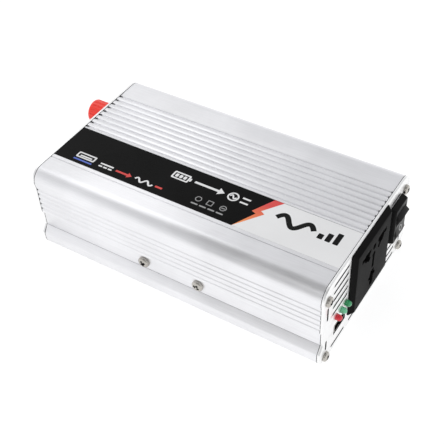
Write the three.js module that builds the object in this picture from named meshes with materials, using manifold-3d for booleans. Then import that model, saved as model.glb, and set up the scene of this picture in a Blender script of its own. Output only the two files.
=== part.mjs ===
// Car power inverter: battery terminals and a cooling fan at the DC end, and a universal mains socket,
// a rocker switch, three indicator lamps and a USB port at the AC end.
// Units are millimetres. +X runs towards the AC end, -Y is the long side next to the label, +Z is up.
// The origin is the middle of the flat underside of the case.
import * as THREE from 'three';
import { mergeVertices } from 'three/addons/utils/BufferGeometryUtils.js';
import Module from 'manifold-3d';

const wasm = await Module();
wasm.setup();

// ---- Driving dimensions ----
const PANEL_INNER_X = 100; // inner face of both end panels, from the middle of the case
const PANEL_THICKNESS = 1.5;
const PANEL_OUTER_X = PANEL_INNER_X + PANEL_THICKNESS;
const GAP = 0.3; // clearance between neighbouring pieces
const CASE_HALF_LENGTH = PANEL_INNER_X - GAP;

const CASE_HEIGHT = 62;
const WALL = 2.2;
const BAND_WALL = 2;
const SHOULDER_RADIUS = 9.2; // round upper edge of the case
const SHOULDER_HALF_WIDTH = 57.4;
const SIDE_HALF_WIDTH = 56.7; // the grooved upper side
const BAND_HALF_WIDTH = 55.2; // the set-back band that holds the side screws
const FLANGE_HALF_WIDTH = 59; // the lower rail, the widest place
const FLANGE_RADIUS = 7; // its round lower edge
const FLANGE_TOP = 11.8; // where the rail starts to slope in
const SEAM_HEIGHT = 16.2; // where the cover meets the base
const BAND_TOP = 27.6;
const SIDE_BOTTOM = 28.4;
const SIDE_TOP = 48.6;
const TONGUE_INNER = 51.3; // upright tongue of the base, inside the cover
const TONGUE_OUTER = 52.9;
const TONGUE_TOP = 27.2;
const CORNER_BLOCK = 48.2; // solid corner of the cover that takes the upper panel screws

const RIB_PITCH = 4.59; // grooves in the top
const RIB_COUNT = 9;
const FIRST_RIB_Y = -2.8;
const GROOVE_WIDTH = 1.0;
const GROOVE_DEPTH = 1.2;
const GROOVE_END_RADIUS = 0.8; // round relief where each groove meets the DC end
const GROOVE_NOTCH = { length: 0.8, width: 1.8 }; // the same at the AC end
const SIDE_GROOVE_COUNT = 5;
const SIDE_GROOVE_DEPTH = 0.7;
const LABEL_NEAR_Y = -36.2;
const LABEL_FAR_Y = -5.2;
const LABEL_RECESS = 0.4;
const LABEL_LINE_Y = -38.9; // fine groove beside the label

const PANEL_SCREW_Y = 51.5;
const PANEL_SCREW_HEIGHTS = [3.6, 51.5];
const PILOT_DEPTH = 11; // of the panel screws' holes in the case
const SIDE_SCREW_X = [-21, 18.3];
const SIDE_SCREW_Z = 21.8;
const PANEL_SCREW = { shank: 1.4, head: 3.2, height: 2.3, length: 10 };
const SIDE_SCREW = { shank: 1.9, head: 3.8, height: 2.6, length: 11.6 };
const FAN_SCREW = { shank: 1.4, head: 2.95, height: 1.9, length: 15 };
const SCREW_HOLE_RADIUS = 1.75;
const SIDE_SCREW_HOLE_RADIUS = 2.25;

const BOARD_BOTTOM = 7.7; // the main board rests on the base's rails
const BOARD_THICKNESS = 1.6;
const BOARD_TOP = BOARD_BOTTOM + BOARD_THICKNESS;
const BOARD_RAIL_Y = 47.8; // inner edge of the rails that carry the board
const PART_FLOOR = BOARD_TOP + GAP; // underside of what stands on the board

const BEZEL_GAP = 0.1; // between the end panel and what is clamped on it
const OPENING_PLAY = 0.8; // how much larger a square panel opening is than what passes through it
const USB_PLAY = 2;
const SOCKET = { y: 0.4, z: 35.9, width: 48.6, height: 50.4, face: 3.3, inset: 2.4, body: 40.6, depth: 19.5 };
const PIN = { y: 9.6, z: 48.6, earthZ: 23.5, front: 3.2, radius: 3.5 };
const LINE_BLADES = [ // openings for flat pins round each line pin, offsets from its middle
  { dy: 1, dz: 1.5, length: 11.6, width: 3, degrees: 0 },
  { dy: -0.4, dz: -1.2, length: 10.4, width: 3, degrees: 50 },
];
const EARTH_ROUND_DZ = 1.6;
const EARTH_BLADES = [
  { dz: 0, length: 12.8, width: 4.6, degrees: 90 },
  { dz: 1.2, length: 8.8, width: 2.8, degrees: 0 },
];
const MIDDLE_SLOT = { z: 36.7, length: 9, width: 2.8, holesZ: [49.4, 43], holeRadius: 2.1 };
const MIDDLE_CELL = { half: 2.4, bottom: 32, top: 52 }; // hollow behind the middle slot
const SWITCH = { y: 38.2, z: 38, width: 18.2, height: 28.6, face: 3.9, inset: 1.3 };
const SWITCH_BODY = { width: 13.4, height: 24.4, depth: 17, opening: 21 };
const PADDLE = { pivotX: 100.9, pivotZ: 37.3, width: 12.4, reach: 6.5, half: 7.4, dish: 1.8, tilt: 6 };
const LED_Y = [-26.9, -32.9, -39];
const LED_Z = 25.8;
const LED_RADIUS = 1.95;
const LED_TIP = 105.1;
const USB = { y: -34, z: 16, width: 13.2, height: 6.4, depth: 13.6, wall: 0.5 };

const VENT_WIDTH = 1.9;
const AC_VENTS = [ // level slots of the AC panel: [y, z, length]
  ...Array.from({ length: 5 }, (_, i) => [-35.4, 56.7 - 5.95 * i, 18.8]),
  ...Array.from({ length: 2 }, (_, i) => [37, 15.2 - 5.8 * i, 13]),
  [37.2, 54.4, 12.5], [-35.5, 3.7, 17], [-12, 3.7, 18], [12, 3.7, 18], [36, 3.7, 15],
];
const EDGE_VENT_Y = 51; // upright slots beside the long sides: [z, length]
const AC_EDGE_VENTS = [[39.8, 10.8], [12.6, 8]];
const DC_EDGE_VENTS = [[28, 20]];
const EDGE_VENT_WIDTH = 1.8;
const GRILLE = { pitch: 5, half: 4, width: 2.8 }; // slots in front of the fan, counted from the middle one

const FAN = { y: -22, z: 31, size: 50, depth: 12, bore: 23.6, blade: 22.6, hub: 12.5, screw: 20, blades: 7 };
const FAN_BACK_PLATE = 1.6;
const FAN_HUB_LENGTH = 7.6;
const TERMINAL = { y: 29, redZ: 45.5, blackZ: 18.7, stud: 3, bore: 3.35, knob: 8.2, length: 14.4 };
const COLLAR = { flange: 3.6, radius: 10, bush: 4.3, inside: 3 };
const FLUTES = 16; // grip flutes round a knob

const CORE = { width: 40, depth: 13, height: 34, yoke: 5, limb: 6.5, outer: 5 };
const WINDING = { width: 30, depth: 28.4, corner: 6, play: 0.6 };
const TRANSFORMER_X = [-42, 2];
const TRANSISTOR_X = [-33, 28.5];
const TAB = { y: [49.6, 50.9], z: [13, 29], half: 5 }; // metal tab of a transistor, against the wall
const MOULD = { y: [46.6, 50.1], z: [13, 22] };
const LEG = { pitch: 2.54, half: 0.45, y: [47.9, 48.5] };
const CLAMP = { x: [-40, 36], y: [43.4, 46.3], z: [17, 27.2] };

// ---- Geometry helpers ----

/** Any closed three.js geometry as a solid for cutting and joining. */
function solidOf(geometry) {
  const bare = geometry.index ? geometry.toNonIndexed() : geometry.clone();
  bare.deleteAttribute('normal');
  bare.deleteAttribute('uv');
  const merged = mergeVertices(bare, 1e-4);
  const mesh = new wasm.Mesh({
    numProp: 3,
    vertProperties: new Float32Array(merged.attributes.position.array),
    triVerts: new Uint32Array(merged.index.array),
  });
  mesh.merge();
  return new wasm.Manifold(mesh);
}

/** A solid back as a three.js geometry. */
function geometryOf(solid) {
  const mesh = solid.getMesh();
  const geometry = new THREE.BufferGeometry();
  geometry.setAttribute('position', new THREE.BufferAttribute(mesh.vertProperties, 3));
  geometry.setIndex(new THREE.BufferAttribute(mesh.triVerts, 1));
  return geometry;
}

/** The first geometry with the others cut away. */
function cut(geometry, tools) {
  return geometryOf(tools.reduce((solid, tool) => solid.subtract(solidOf(tool)), solidOf(geometry)));
}

/** Overlapping geometries joined into one. */
function join(geometries) {
  const [first, ...rest] = geometries.map(solidOf);
  return geometryOf(rest.reduce((solid, next) => solid.add(next), first));
}

/** A box between two corners. */
function block([x0, x1], [y0, y1], [z0, z1]) {
  const geometry = new THREE.BoxGeometry(x1 - x0, y1 - y0, z1 - z0);
  return geometry.translate((x0 + x1) / 2, (y0 + y1) / 2, (z0 + z1) / 2);
}

/** Turns an outline drawn as (y, z) into a bar that runs along X. */
const OUTLINE_TO_X = new THREE.Matrix4().makeBasis(
  new THREE.Vector3(0, 1, 0),
  new THREE.Vector3(0, 0, 1),
  new THREE.Vector3(1, 0, 0),
);

function barAlongX(outline, x0, x1, curveSegments = 6) {
  const geometry = new THREE.ExtrudeGeometry(outline, { depth: x1 - x0, bevelEnabled: false, curveSegments });
  return geometry.applyMatrix4(OUTLINE_TO_X).translate(x0, 0, 0);
}

/** A turned piece: profile points are [distance along +X, radius], listed from low X to high X. */
function turned(profile, segments = 20) {
  const points = profile.map(([along, radius]) => new THREE.Vector2(radius, along));
  return new THREE.LatheGeometry(points, segments).rotateZ(-Math.PI / 2);
}

function rod(radius, x0, x1, y, z, segments = 16) {
  return turned([[x0, 0], [x0, radius], [x1, radius], [x1, 0]], segments).translate(0, y, z);
}

/** Polygon through [y, z] points. */
function polygon(points) {
  return new THREE.Shape(points.map(([y, z]) => new THREE.Vector2(y, z)));
}

/** Right-hand half outline, from the bottom centre to the top centre, closed by its mirror image. */
function mirrored(half) {
  const left = half.filter(([y]) => y > 0).map(([y, z]) => [-y, z]).reverse();
  return [...half, ...left];
}

/** Points on an arc, from one angle to another in degrees. */
function arc(cy, cz, radius, from, to, steps) {
  return Array.from({ length: steps + 1 }, (_, i) => {
    const angle = THREE.MathUtils.degToRad(from + ((to - from) * i) / steps);
    return [cy + radius * Math.cos(angle), cz + radius * Math.sin(angle)];
  });
}

/** A slot with round ends, level or upright, as a hole in a panel outline. */
function slot(y, z, length, width, upright = false) {
  const r = width / 2;
  const straight = length / 2 - r;
  const path = new THREE.Path();
  path.absarc(straight, 0, r, -Math.PI / 2, Math.PI / 2);
  path.absarc(-straight, 0, r, Math.PI / 2, (3 * Math.PI) / 2);
  const points = path.getPoints(3).map((p) => (upright ? [y - p.y, z + p.x] : [y + p.x, z + p.y]));
  points.pop();
  return new THREE.Path(points.map(([py, pz]) => new THREE.Vector2(py, pz)));
}

/** A round hole: its flats touch the stated radius from outside, so that a round piece passes. */
function roundHole(y, z, radius, sides = 16) {
  const corners = arc(y, z, radius / Math.cos(Math.PI / sides), 0, 360 - 360 / sides, sides - 1);
  return new THREE.Path(corners.map(([py, pz]) => new THREE.Vector2(py, pz)));
}

function squareHole(y, z, width, height) {
  const [w, h] = [width / 2, height / 2];
  const corners = [[y - w, z - h], [y + w, z - h], [y + w, z + h], [y - w, z + h]];
  return new THREE.Path(corners.map(([py, pz]) => new THREE.Vector2(py, pz)));
}

/** A rectangle with round corners. */
function roundedRectangle(y, z, width, height, radius) {
  const [w, h] = [width / 2 - radius, height / 2 - radius];
  const shape = new THREE.Shape();
  shape.absarc(y + w, z + h, radius, 0, Math.PI / 2);
  shape.absarc(y - w, z + h, radius, Math.PI / 2, Math.PI);
  shape.absarc(y - w, z - h, radius, Math.PI, 1.5 * Math.PI);
  shape.absarc(y + w, z - h, radius, 1.5 * Math.PI, 2 * Math.PI);
  return shape;
}

/** A flange whose sides slope in towards its front face. */
function slopedFlange({ y, z, width, height, face, inset }, radius) {
  const x0 = PANEL_OUTER_X + BEZEL_GAP;
  const geometry = barAlongX(roundedRectangle(y, z, width, height, radius), x0, x0 + face, 3);
  const position = geometry.attributes.position;
  for (let i = 0; i < position.count; i += 1) {
    if (position.getX(i) > x0 + face / 2) {
      position.setY(i, y + (position.getY(i) - y) * (1 - (2 * inset) / width));
      position.setZ(i, z + (position.getZ(i) - z) * (1 - (2 * inset) / height));
    }
  }
  return geometry;
}

// ---- Assembly ----

const group = new THREE.Group();
group.name = 'power_inverter';

function material(color, roughness, metalness) {
  return new THREE.MeshStandardMaterial({ color, roughness, metalness });
}

const FINISH = {
  aluminium: () => material(0xdcdde2, 0.42, 0.9),
  panel: () => material(0xe6e7ea, 0.35, 0.9),
  nickel: () => material(0xd2d3d6, 0.22, 1),
  brass: () => material(0xc9a24a, 0.3, 1),
  copper: () => material(0xb8693a, 0.35, 1),
  blackPlastic: () => material(0x1d1d20, 0.45, 0),
  redPlastic: () => material(0xf0362c, 0.4, 0),
  label: () => material(0x181818, 0.3, 0),
  board: () => material(0x1f6b3a, 0.5, 0),
  ferrite: () => material(0x3a3a3d, 0.7, 0),
  winding: () => material(0xd9b23a, 0.55, 0),
  sleeve: () => material(0x26324f, 0.4, 0),
  film: () => material(0xe9e4d2, 0.6, 0),
};

function addPart(name, geometry, finish) {
  const mesh = new THREE.Mesh(geometry, finish());
  mesh.name = name;
  group.add(mesh);
}

// ---- Case ----

/** Points along the shallow grooves of the cover's side, going up. */
function sideGrooves() {
  const pitch = (SIDE_TOP - SIDE_BOTTOM) / SIDE_GROOVE_COUNT;
  const [land, floorStart, floorEnd] = [0.52, 0.66, 0.9]; // shares of the pitch
  const points = [];
  for (let i = 0; i < SIDE_GROOVE_COUNT; i += 1) {
    const z = SIDE_BOTTOM + pitch * i;
    const floor = SIDE_HALF_WIDTH - SIDE_GROOVE_DEPTH;
    points.push([SIDE_HALF_WIDTH, z], [SIDE_HALF_WIDTH, z + pitch * land]);
    points.push([floor, z + pitch * floorStart], [floor, z + pitch * floorEnd]);
  }
  return points;
}

/** A narrow groove in the top, from its high-Y edge to its low-Y edge. */
function topGroove(y, width, depth) {
  const w = width / 2;
  return [[y + w, CASE_HEIGHT], [y + w * 0.8, CASE_HEIGHT - depth], [y - w * 0.8, CASE_HEIGHT - depth],
    [y - w, CASE_HEIGHT]];
}

const ribGrooves = Array.from({ length: RIB_COUNT }, (_, i) => FIRST_RIB_Y + i * RIB_PITCH);

function shoulder(radius, fromAngle, toAngle, steps) {
  const centreZ = CASE_HEIGHT - SHOULDER_RADIUS;
  return arc(SHOULDER_HALF_WIDTH - SHOULDER_RADIUS, centreZ, radius, fromAngle, toAngle, steps);
}

function coverOutline() {
  const mirror = (points) => points.map(([y, z]) => [-y, z]).reverse();
  const outerSide = [[BAND_HALF_WIDTH, SEAM_HEIGHT + GAP], [BAND_HALF_WIDTH, BAND_TOP], ...sideGrooves(),
    [SIDE_HALF_WIDTH, SIDE_TOP], ...shoulder(SHOULDER_RADIUS, 0, 90, 9)];
  const labelFloor = CASE_HEIGHT - LABEL_RECESS;
  const top = [...ribGrooves].reverse().flatMap((y) => topGroove(y, GROOVE_WIDTH, GROOVE_DEPTH));
  top.push([LABEL_FAR_Y, CASE_HEIGHT], [LABEL_FAR_Y, labelFloor], [LABEL_NEAR_Y, labelFloor],
    [LABEL_NEAR_Y, CASE_HEIGHT], ...topGroove(LABEL_LINE_Y, 0.6, 0.5));
  const bandInner = BAND_HALF_WIDTH - BAND_WALL;
  const sideInner = SIDE_HALF_WIDTH - WALL;
  const innerSide = [[CORNER_BLOCK, CASE_HEIGHT - WALL], [CORNER_BLOCK, CORNER_BLOCK],
    [sideInner, CORNER_BLOCK], [sideInner, SIDE_BOTTOM + 2], [bandInner, SIDE_BOTTOM + 1],
    [bandInner, SEAM_HEIGHT + GAP]];
  return polygon([...outerSide, ...top, ...mirror(outerSide), ...mirror(innerSide), ...innerSide]);
}

function baseOutline() {
  const half = [[0, 0],
    ...arc(FLANGE_HALF_WIDTH - FLANGE_RADIUS, FLANGE_RADIUS, FLANGE_RADIUS, -90, 0, 7),
    [FLANGE_HALF_WIDTH, FLANGE_TOP - 0.8], [FLANGE_HALF_WIDTH - 0.3, FLANGE_TOP],
    [BAND_HALF_WIDTH + 0.2, SEAM_HEIGHT], [TONGUE_OUTER, SEAM_HEIGHT], [TONGUE_OUTER, TONGUE_TOP],
    [TONGUE_INNER, TONGUE_TOP], [TONGUE_INNER, SEAM_HEIGHT - 1], [FLANGE_HALF_WIDTH - 2, BOARD_TOP + 1.1],
    [FLANGE_HALF_WIDTH - 2, BOARD_BOTTOM - GAP], [BOARD_RAIL_Y, BOARD_BOTTOM - GAP],
    [BOARD_RAIL_Y, WALL], [0, WALL]];
  const mirror = half.slice(1, -1).map(([y, z]) => [-y, z]).reverse();
  return polygon([...half.slice(1), ...mirror]);
}

function panelOutline() {
  const half = [...arc(FLANGE_HALF_WIDTH - FLANGE_RADIUS, FLANGE_RADIUS, FLANGE_RADIUS, -90, 0, 7),
    [FLANGE_HALF_WIDTH, FLANGE_TOP], [BAND_HALF_WIDTH, SEAM_HEIGHT], [BAND_HALF_WIDTH, BAND_TOP],
    [SIDE_HALF_WIDTH, SIDE_BOTTOM], [SIDE_HALF_WIDTH, SIDE_TOP], ...shoulder(SHOULDER_RADIUS, 0, 90, 9)];
  return polygon(mirrored(half));
}

/** Pilot holes for the panel screws at both ends of an extrusion. */
function endScrewHoles(z) {
  return [-1, 1].flatMap((end) => [-1, 1].map((side) => {
    const spanX = [end * (CASE_HALF_LENGTH - PILOT_DEPTH), end * (CASE_HALF_LENGTH + 1)];
    return rod(SCREW_HOLE_RADIUS, Math.min(...spanX), Math.max(...spanX), side * PANEL_SCREW_Y, z, 12);
  }));
}

/** Holes for the side screws, through both long walls. */
function sideScrewHoles() {
  return SIDE_SCREW_X.map((x) => {
    const radius = SIDE_SCREW_HOLE_RADIUS;
    const hole = new THREE.CylinderGeometry(radius, radius, 2 * FLANGE_HALF_WIDTH, 12);
    return hole.translate(x, 0, SIDE_SCREW_Z);
  });
}

/** Openings through the top where each groove ends: round at the DC end, a short notch at the AC end. */
function grooveEnds() {
  const inset = 1.1;
  return ribGrooves.flatMap((y) => {
    const hole = new THREE.CylinderGeometry(GROOVE_END_RADIUS, GROOVE_END_RADIUS, 3 * WALL, 8);
    const half = GROOVE_NOTCH.width / 2;
    const notch = block([CASE_HALF_LENGTH - GROOVE_NOTCH.length, CASE_HALF_LENGTH + 1], [y - half, y + half],
      [CASE_HEIGHT - 2 * WALL, CASE_HEIGHT + 1]);
    return [hole.rotateX(Math.PI / 2).translate(inset - CASE_HALF_LENGTH, y, CASE_HEIGHT), notch];
  });
}

addPart('top_cover', cut(barAlongX(coverOutline(), -CASE_HALF_LENGTH, CASE_HALF_LENGTH),
  [...endScrewHoles(PANEL_SCREW_HEIGHTS[1]), ...sideScrewHoles(), ...grooveEnds()]), FINISH.aluminium);

addPart('base_tray', cut(barAlongX(baseOutline(), -CASE_HALF_LENGTH, CASE_HALF_LENGTH),
  [...endScrewHoles(PANEL_SCREW_HEIGHTS[0]), ...sideScrewHoles()]), FINISH.aluminium);

const labelTop = CASE_HEIGHT - 0.05;
addPart('label_sticker', block([-CASE_HALF_LENGTH + 0.1, CASE_HALF_LENGTH - 0.1],
  [LABEL_NEAR_Y + 0.2, LABEL_FAR_Y - 0.2], [CASE_HEIGHT - LABEL_RECESS + 0.05, labelTop]), FINISH.label);

const FAN_CORNERS = [-1, 1].flatMap((a) => [-1, 1].map((b) => [a * FAN.screw, b * FAN.screw]));

function screwHolesInPanel() {
  return PANEL_SCREW_HEIGHTS.flatMap((z) => [-1, 1].map((side) => (
    roundHole(side * PANEL_SCREW_Y, z, SCREW_HOLE_RADIUS))));
}

function edgeVents(vents) {
  return vents.flatMap(([z, length]) => [-1, 1].map((side) => (
    slot(side * EDGE_VENT_Y, z, length, EDGE_VENT_WIDTH, true))));
}

function acPanel() {
  const outline = panelOutline();
  for (const [y, z, length] of AC_VENTS) outline.holes.push(slot(y, z, length, VENT_WIDTH));
  outline.holes.push(...edgeVents(AC_EDGE_VENTS));
  for (const [{ y, z }, width, height, play] of [
    [SOCKET, SOCKET.body, SOCKET.body, OPENING_PLAY],
    [SWITCH, SWITCH_BODY.width, SWITCH_BODY.height, OPENING_PLAY],
    [USB, USB.width, USB.height, USB_PLAY],
  ]) outline.holes.push(squareHole(y, z, width + play, height + play));
  for (const y of LED_Y) outline.holes.push(roundHole(y, LED_Z, LED_RADIUS + 0.15));
  outline.holes.push(...screwHolesInPanel());
  return barAlongX(outline, PANEL_INNER_X, PANEL_OUTER_X, 4);
}

function dcPanel() {
  const outline = panelOutline();
  const radius = FAN.bore - 1;
  for (let i = -GRILLE.half; i <= GRILLE.half; i += 1) {
    const rise = i * GRILLE.pitch;
    outline.holes.push(slot(FAN.y, FAN.z + rise, 2 * Math.sqrt(radius ** 2 - rise ** 2), GRILLE.width));
  }
  for (const [dy, dz] of FAN_CORNERS) {
    outline.holes.push(roundHole(FAN.y + dy, FAN.z + dz, SCREW_HOLE_RADIUS));
  }
  for (const z of [TERMINAL.redZ, TERMINAL.blackZ]) {
    outline.holes.push(roundHole(TERMINAL.y, z, COLLAR.bush + GAP));
  }
  outline.holes.push(...edgeVents(DC_EDGE_VENTS), ...screwHolesInPanel());
  return barAlongX(outline, -PANEL_OUTER_X, -PANEL_INNER_X, 4);
}

addPart('ac_end_panel', acPanel(), FINISH.panel);
addPart('dc_end_panel', dcPanel(), FINISH.panel);

// ---- Screws ----

/** Pan-head screw along X: its head is seated at x = 0 and points to +X. */
function panHeadScrew({ shank, head, height, length }) {
  const seat = 0.05;
  const rim = height * 0.45;
  const crown = head * 0.55;
  return turned([[-length, 0], [-length + 0.8, shank], [seat, shank], [seat, head], [rim, head],
    [height, crown], [height, 0]], 12);
}

for (const [end, label] of [[1, 'ac'], [-1, 'dc']]) {
  PANEL_SCREW_HEIGHTS.forEach((z, level) => {
    for (const [side, sideName] of [[-1, 'near'], [1, 'far']]) {
      const screw = panHeadScrew(PANEL_SCREW);
      if (end < 0) screw.rotateZ(Math.PI);
      screw.translate(end * PANEL_OUTER_X, side * PANEL_SCREW_Y, z);
      addPart(`${label}_panel_screw_${['lower', 'upper'][level]}_${sideName}`, screw, FINISH.nickel);
    }
  });
}

for (const [side, sideName] of [[-1, 'near'], [1, 'far']]) {
  SIDE_SCREW_X.forEach((x, i) => {
    const screw = panHeadScrew(SIDE_SCREW).rotateZ((side * Math.PI) / 2);
    addPart(`side_screw_${sideName}_${i + 1}`, screw.translate(x, side * BAND_HALF_WIDTH, SIDE_SCREW_Z),
      FINISH.nickel);
  });
}

// ---- Mains socket ----

/** Openings of the universal face, as bars long enough to cut through the whole front. */
function pinOpenings() {
  const back = PANEL_OUTER_X + SOCKET.face - PIN.front - 1;
  const front = PANEL_OUTER_X + SOCKET.face + 2;
  const bar = (outline) => barAlongX(outline, back, front, 8);
  const blade = (y, z, length, width, degrees) => {
    const flat = barAlongX(roundedRectangle(0, 0, length, width, 0.3), back, front, 1);
    return flat.rotateX(THREE.MathUtils.degToRad(degrees)).translate(0, y, z);
  };
  const circle = (y, z, radius) => {
    const shape = new THREE.Shape();
    shape.absarc(y, z, radius, 0, 2 * Math.PI);
    return bar(shape);
  };
  const y = SOCKET.y;
  const openings = MIDDLE_SLOT.holesZ.map((z) => circle(y, z, MIDDLE_SLOT.holeRadius));
  openings.push(blade(y, MIDDLE_SLOT.z, MIDDLE_SLOT.length, MIDDLE_SLOT.width, 90));
  for (const side of [-1, 1]) {
    openings.push(circle(y + side * PIN.y, PIN.z, PIN.radius));
    openings.push(...LINE_BLADES.map(({ dy, dz, length, width, degrees }) => (
      blade(y + side * (PIN.y + dy), PIN.z + dz, length, width, side * degrees))));
  }
  openings.push(circle(y, PIN.earthZ + EARTH_ROUND_DZ, PIN.radius));
  openings.push(...EARTH_BLADES.map(({ dz, length, width, degrees }) => (
    blade(y, PIN.earthZ + dz, length, width, degrees))));
  return openings;
}

const CONTACT_CELLS = {
  live: { y: SOCKET.y - PIN.y - 0.4, z: PIN.z, w: 12.6, h: 9.4 },
  neutral: { y: SOCKET.y + PIN.y + 0.4, z: PIN.z, w: 12.6, h: 9.4 },
  earth: { y: SOCKET.y, z: PIN.earthZ, w: 9, h: 13 },
};

/** The box around one contact, open at the back of the socket body. */
function contactCell({ y, z, w, h }, margin, x0, x1) {
  return block([x0, x1], [y - w / 2 + margin, y + w / 2 - margin], [z - h / 2 + margin, z + h / 2 - margin]);
}

const socketFront = PANEL_OUTER_X + BEZEL_GAP + SOCKET.face;
const socketBack = PANEL_INNER_X - SOCKET.depth;
const cellFront = socketFront - PIN.front;

function socketHousing() {
  const half = SOCKET.body / 2;
  const body = block([socketBack, PANEL_OUTER_X + 1], [SOCKET.y - half, SOCKET.y + half],
    [SOCKET.z - half, SOCKET.z + half]);
  const middleCell = block([socketBack - 1, cellFront],
    [SOCKET.y - MIDDLE_CELL.half, SOCKET.y + MIDDLE_CELL.half], [MIDDLE_CELL.bottom, MIDDLE_CELL.top]);
  const cells = Object.values(CONTACT_CELLS).map((cell) => contactCell(cell, 0, socketBack - 1, cellFront));
  return cut(join([slopedFlange(SOCKET, 1.2), body]), [...pinOpenings(), ...cells, middleCell]);
}

/** Sprung brass contact: a folded strip, open towards the pin. */
function socketContact(cell) {
  const outer = contactCell(cell, 0.4, socketBack + 1.5, cellFront - 0.4);
  const inner = contactCell(cell, 1.2, socketBack + 2.5, cellFront + 1);
  const slit = contactCell({ ...cell, h: cell.h * 2 }, cell.w / 2 - 0.8, socketBack + 6, cellFront + 1);
  return cut(outer, [inner, slit]);
}

addPart('socket_housing', socketHousing(), FINISH.blackPlastic);
for (const [name, cell] of Object.entries(CONTACT_CELLS)) {
  addPart(`${name}_contact`, socketContact(cell), FINISH.brass);
}

// ---- Rocker switch ----

function switchFrame() {
  const { y, z } = SWITCH;
  const { width, height, depth, opening } = SWITCH_BODY;
  const front = PANEL_OUTER_X + SWITCH.face + 2;
  const shell = block([PANEL_INNER_X - depth, PANEL_OUTER_X + 1], [y - width / 2, y + width / 2],
    [z - height / 2, z + height / 2]);
  const pocketHalf = PADDLE.width / 2 + 0.4;
  const pocket = block([PADDLE.pivotX - 9.5, front], [y - pocketHalf, y + pocketHalf],
    [PADDLE.pivotZ - opening / 2, PADDLE.pivotZ + opening / 2]);
  return cut(join([slopedFlange(SWITCH, 1), shell]), [pocket]);
}

/** How far the hollow front of the paddle stands from its pivot at a height along it. */
function paddleFront(z) {
  const softness = 0.3; // of the fold in the middle
  const rise = (share) => Math.hypot(share, softness) - softness;
  return PADDLE.reach - PADDLE.dish * (1 - rise(z / PADDLE.half) / rise(1));
}

/** The paddle in (x, z) about its pivot, level: a hollow front face between two ends that are arcs. */
function switchPaddle() {
  const { reach, half, width, tilt, pivotX, pivotZ } = PADDLE;
  const cornerRadius = Math.hypot(reach, half);
  const cornerAngle = THREE.MathUtils.radToDeg(Math.atan2(half, reach));
  const upperEnd = arc(0, 0, cornerRadius, cornerAngle, 78, 4);
  const lowerEnd = upperEnd.map(([x, z]) => [x, -z]).reverse();
  const stem = [[1.2, -4], [-4.5, -2.2], [-4.5, 2.2], [1.2, 4]];
  const steps = 10;
  const heights = Array.from({ length: steps - 1 }, (_, i) => -half + (2 * half * (i + 1)) / steps);
  const dish = heights.map((z) => [paddleFront(z), z]);
  const side = polygon([...stem.slice(0, 1), ...lowerEnd, ...dish, ...upperEnd, ...stem.slice(3),
    stem[2], stem[1]]);
  const geometry = new THREE.ExtrudeGeometry(side, { depth: width, bevelEnabled: false });
  geometry.rotateX(Math.PI / 2).translate(0, width / 2, 0);
  geometry.rotateY(THREE.MathUtils.degToRad(tilt));
  return geometry.translate(pivotX, SWITCH.y, pivotZ);
}

addPart('switch_frame', switchFrame(), FINISH.blackPlastic);
addPart('switch_paddle', switchPaddle(), FINISH.blackPlastic);

// ---- Indicator lamps, USB port and their board ----

const FRONT_BOARD_X = [83.6, 85.2];

/** Round lamp with a domed tip, a rim behind the panel and two legs that reach the board. */
function lamp(y) {
  const rim = { x: 96.4, thickness: 1, radius: 2.4 };
  const leg = { offset: 1.27, half: 0.25 };
  const dome = arc(0, 0, LED_RADIUS, 0, 90, 5).map(([r, h]) => [LED_TIP - LED_RADIUS + h, r]);
  dome[dome.length - 1][1] = 0;
  const neck = rim.x + rim.thickness;
  const body = turned([[rim.x, 0], [rim.x, rim.radius], [neck, rim.radius], [neck, LED_RADIUS], ...dome], 16);
  const legs = [-leg.offset, leg.offset].map((middle) => (
    block([FRONT_BOARD_X[1] + GAP, neck], [middle - leg.half, middle + leg.half], [-leg.half, leg.half])));
  return join([body, ...legs]).translate(0, y, LED_Z);
}

addPart('led_green_1', lamp(LED_Y[0]), () => material(0x3fae6a, 0.25, 0));
addPart('led_green_2', lamp(LED_Y[1]), () => material(0x7fd0ad, 0.25, 0));
addPart('led_red', lamp(LED_Y[2]), () => material(0xe0283a, 0.25, 0));

function usbShell() {
  const x0 = PANEL_OUTER_X - USB.depth;
  const box = (grow, from, to) => block([from, to],
    [USB.y - USB.width / 2 + grow, USB.y + USB.width / 2 - grow],
    [USB.z - USB.height / 2 + grow, USB.z + USB.height / 2 - grow]);
  return cut(box(0, x0, PANEL_OUTER_X - 0.2), [box(USB.wall, x0 + 1, PANEL_OUTER_X + 1)]);
}

addPart('usb_shell', usbShell(), FINISH.nickel);
addPart('usb_tongue', block([PANEL_OUTER_X - USB.depth + 1.3, PANEL_OUTER_X - 1.2],
  [USB.y - 5.5, USB.y + 5.5], [USB.z + 0.3, USB.z + 2.1]), () => material(0xf2f2ee, 0.5, 0));

addPart('front_board', block(FRONT_BOARD_X, [-44.5, -23.5], [10.5, 31.5]), FINISH.board);

// ---- Cooling fan ----

function fanFrame() {
  const { y, z, size, depth, bore } = FAN;
  const outline = roundedRectangle(y, z, size, size, 3);
  outline.holes.push(roundHole(y, z, bore, 32));
  for (const [dy, dz] of FAN_CORNERS) outline.holes.push(roundHole(y + dy, z + dz, SCREW_HOLE_RADIUS + 0.2));
  const x0 = -PANEL_INNER_X + GAP;
  const frame = barAlongX(outline, x0, x0 + depth, 8);
  const back = x0 + depth;
  const motorPlate = rod(FAN.hub, back - FAN_BACK_PLATE, back, y, z, 24);
  const struts = [0, 1, 2, 3].map((i) => (
    block([back - FAN_BACK_PLATE, back], [-1.3, 1.3], [FAN.hub - 2, bore + 2])
      .rotateX(THREE.MathUtils.degToRad(45 + 90 * i)).translate(0, y, z)));
  return join([frame, motorPlate, ...struts]);
}

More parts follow.
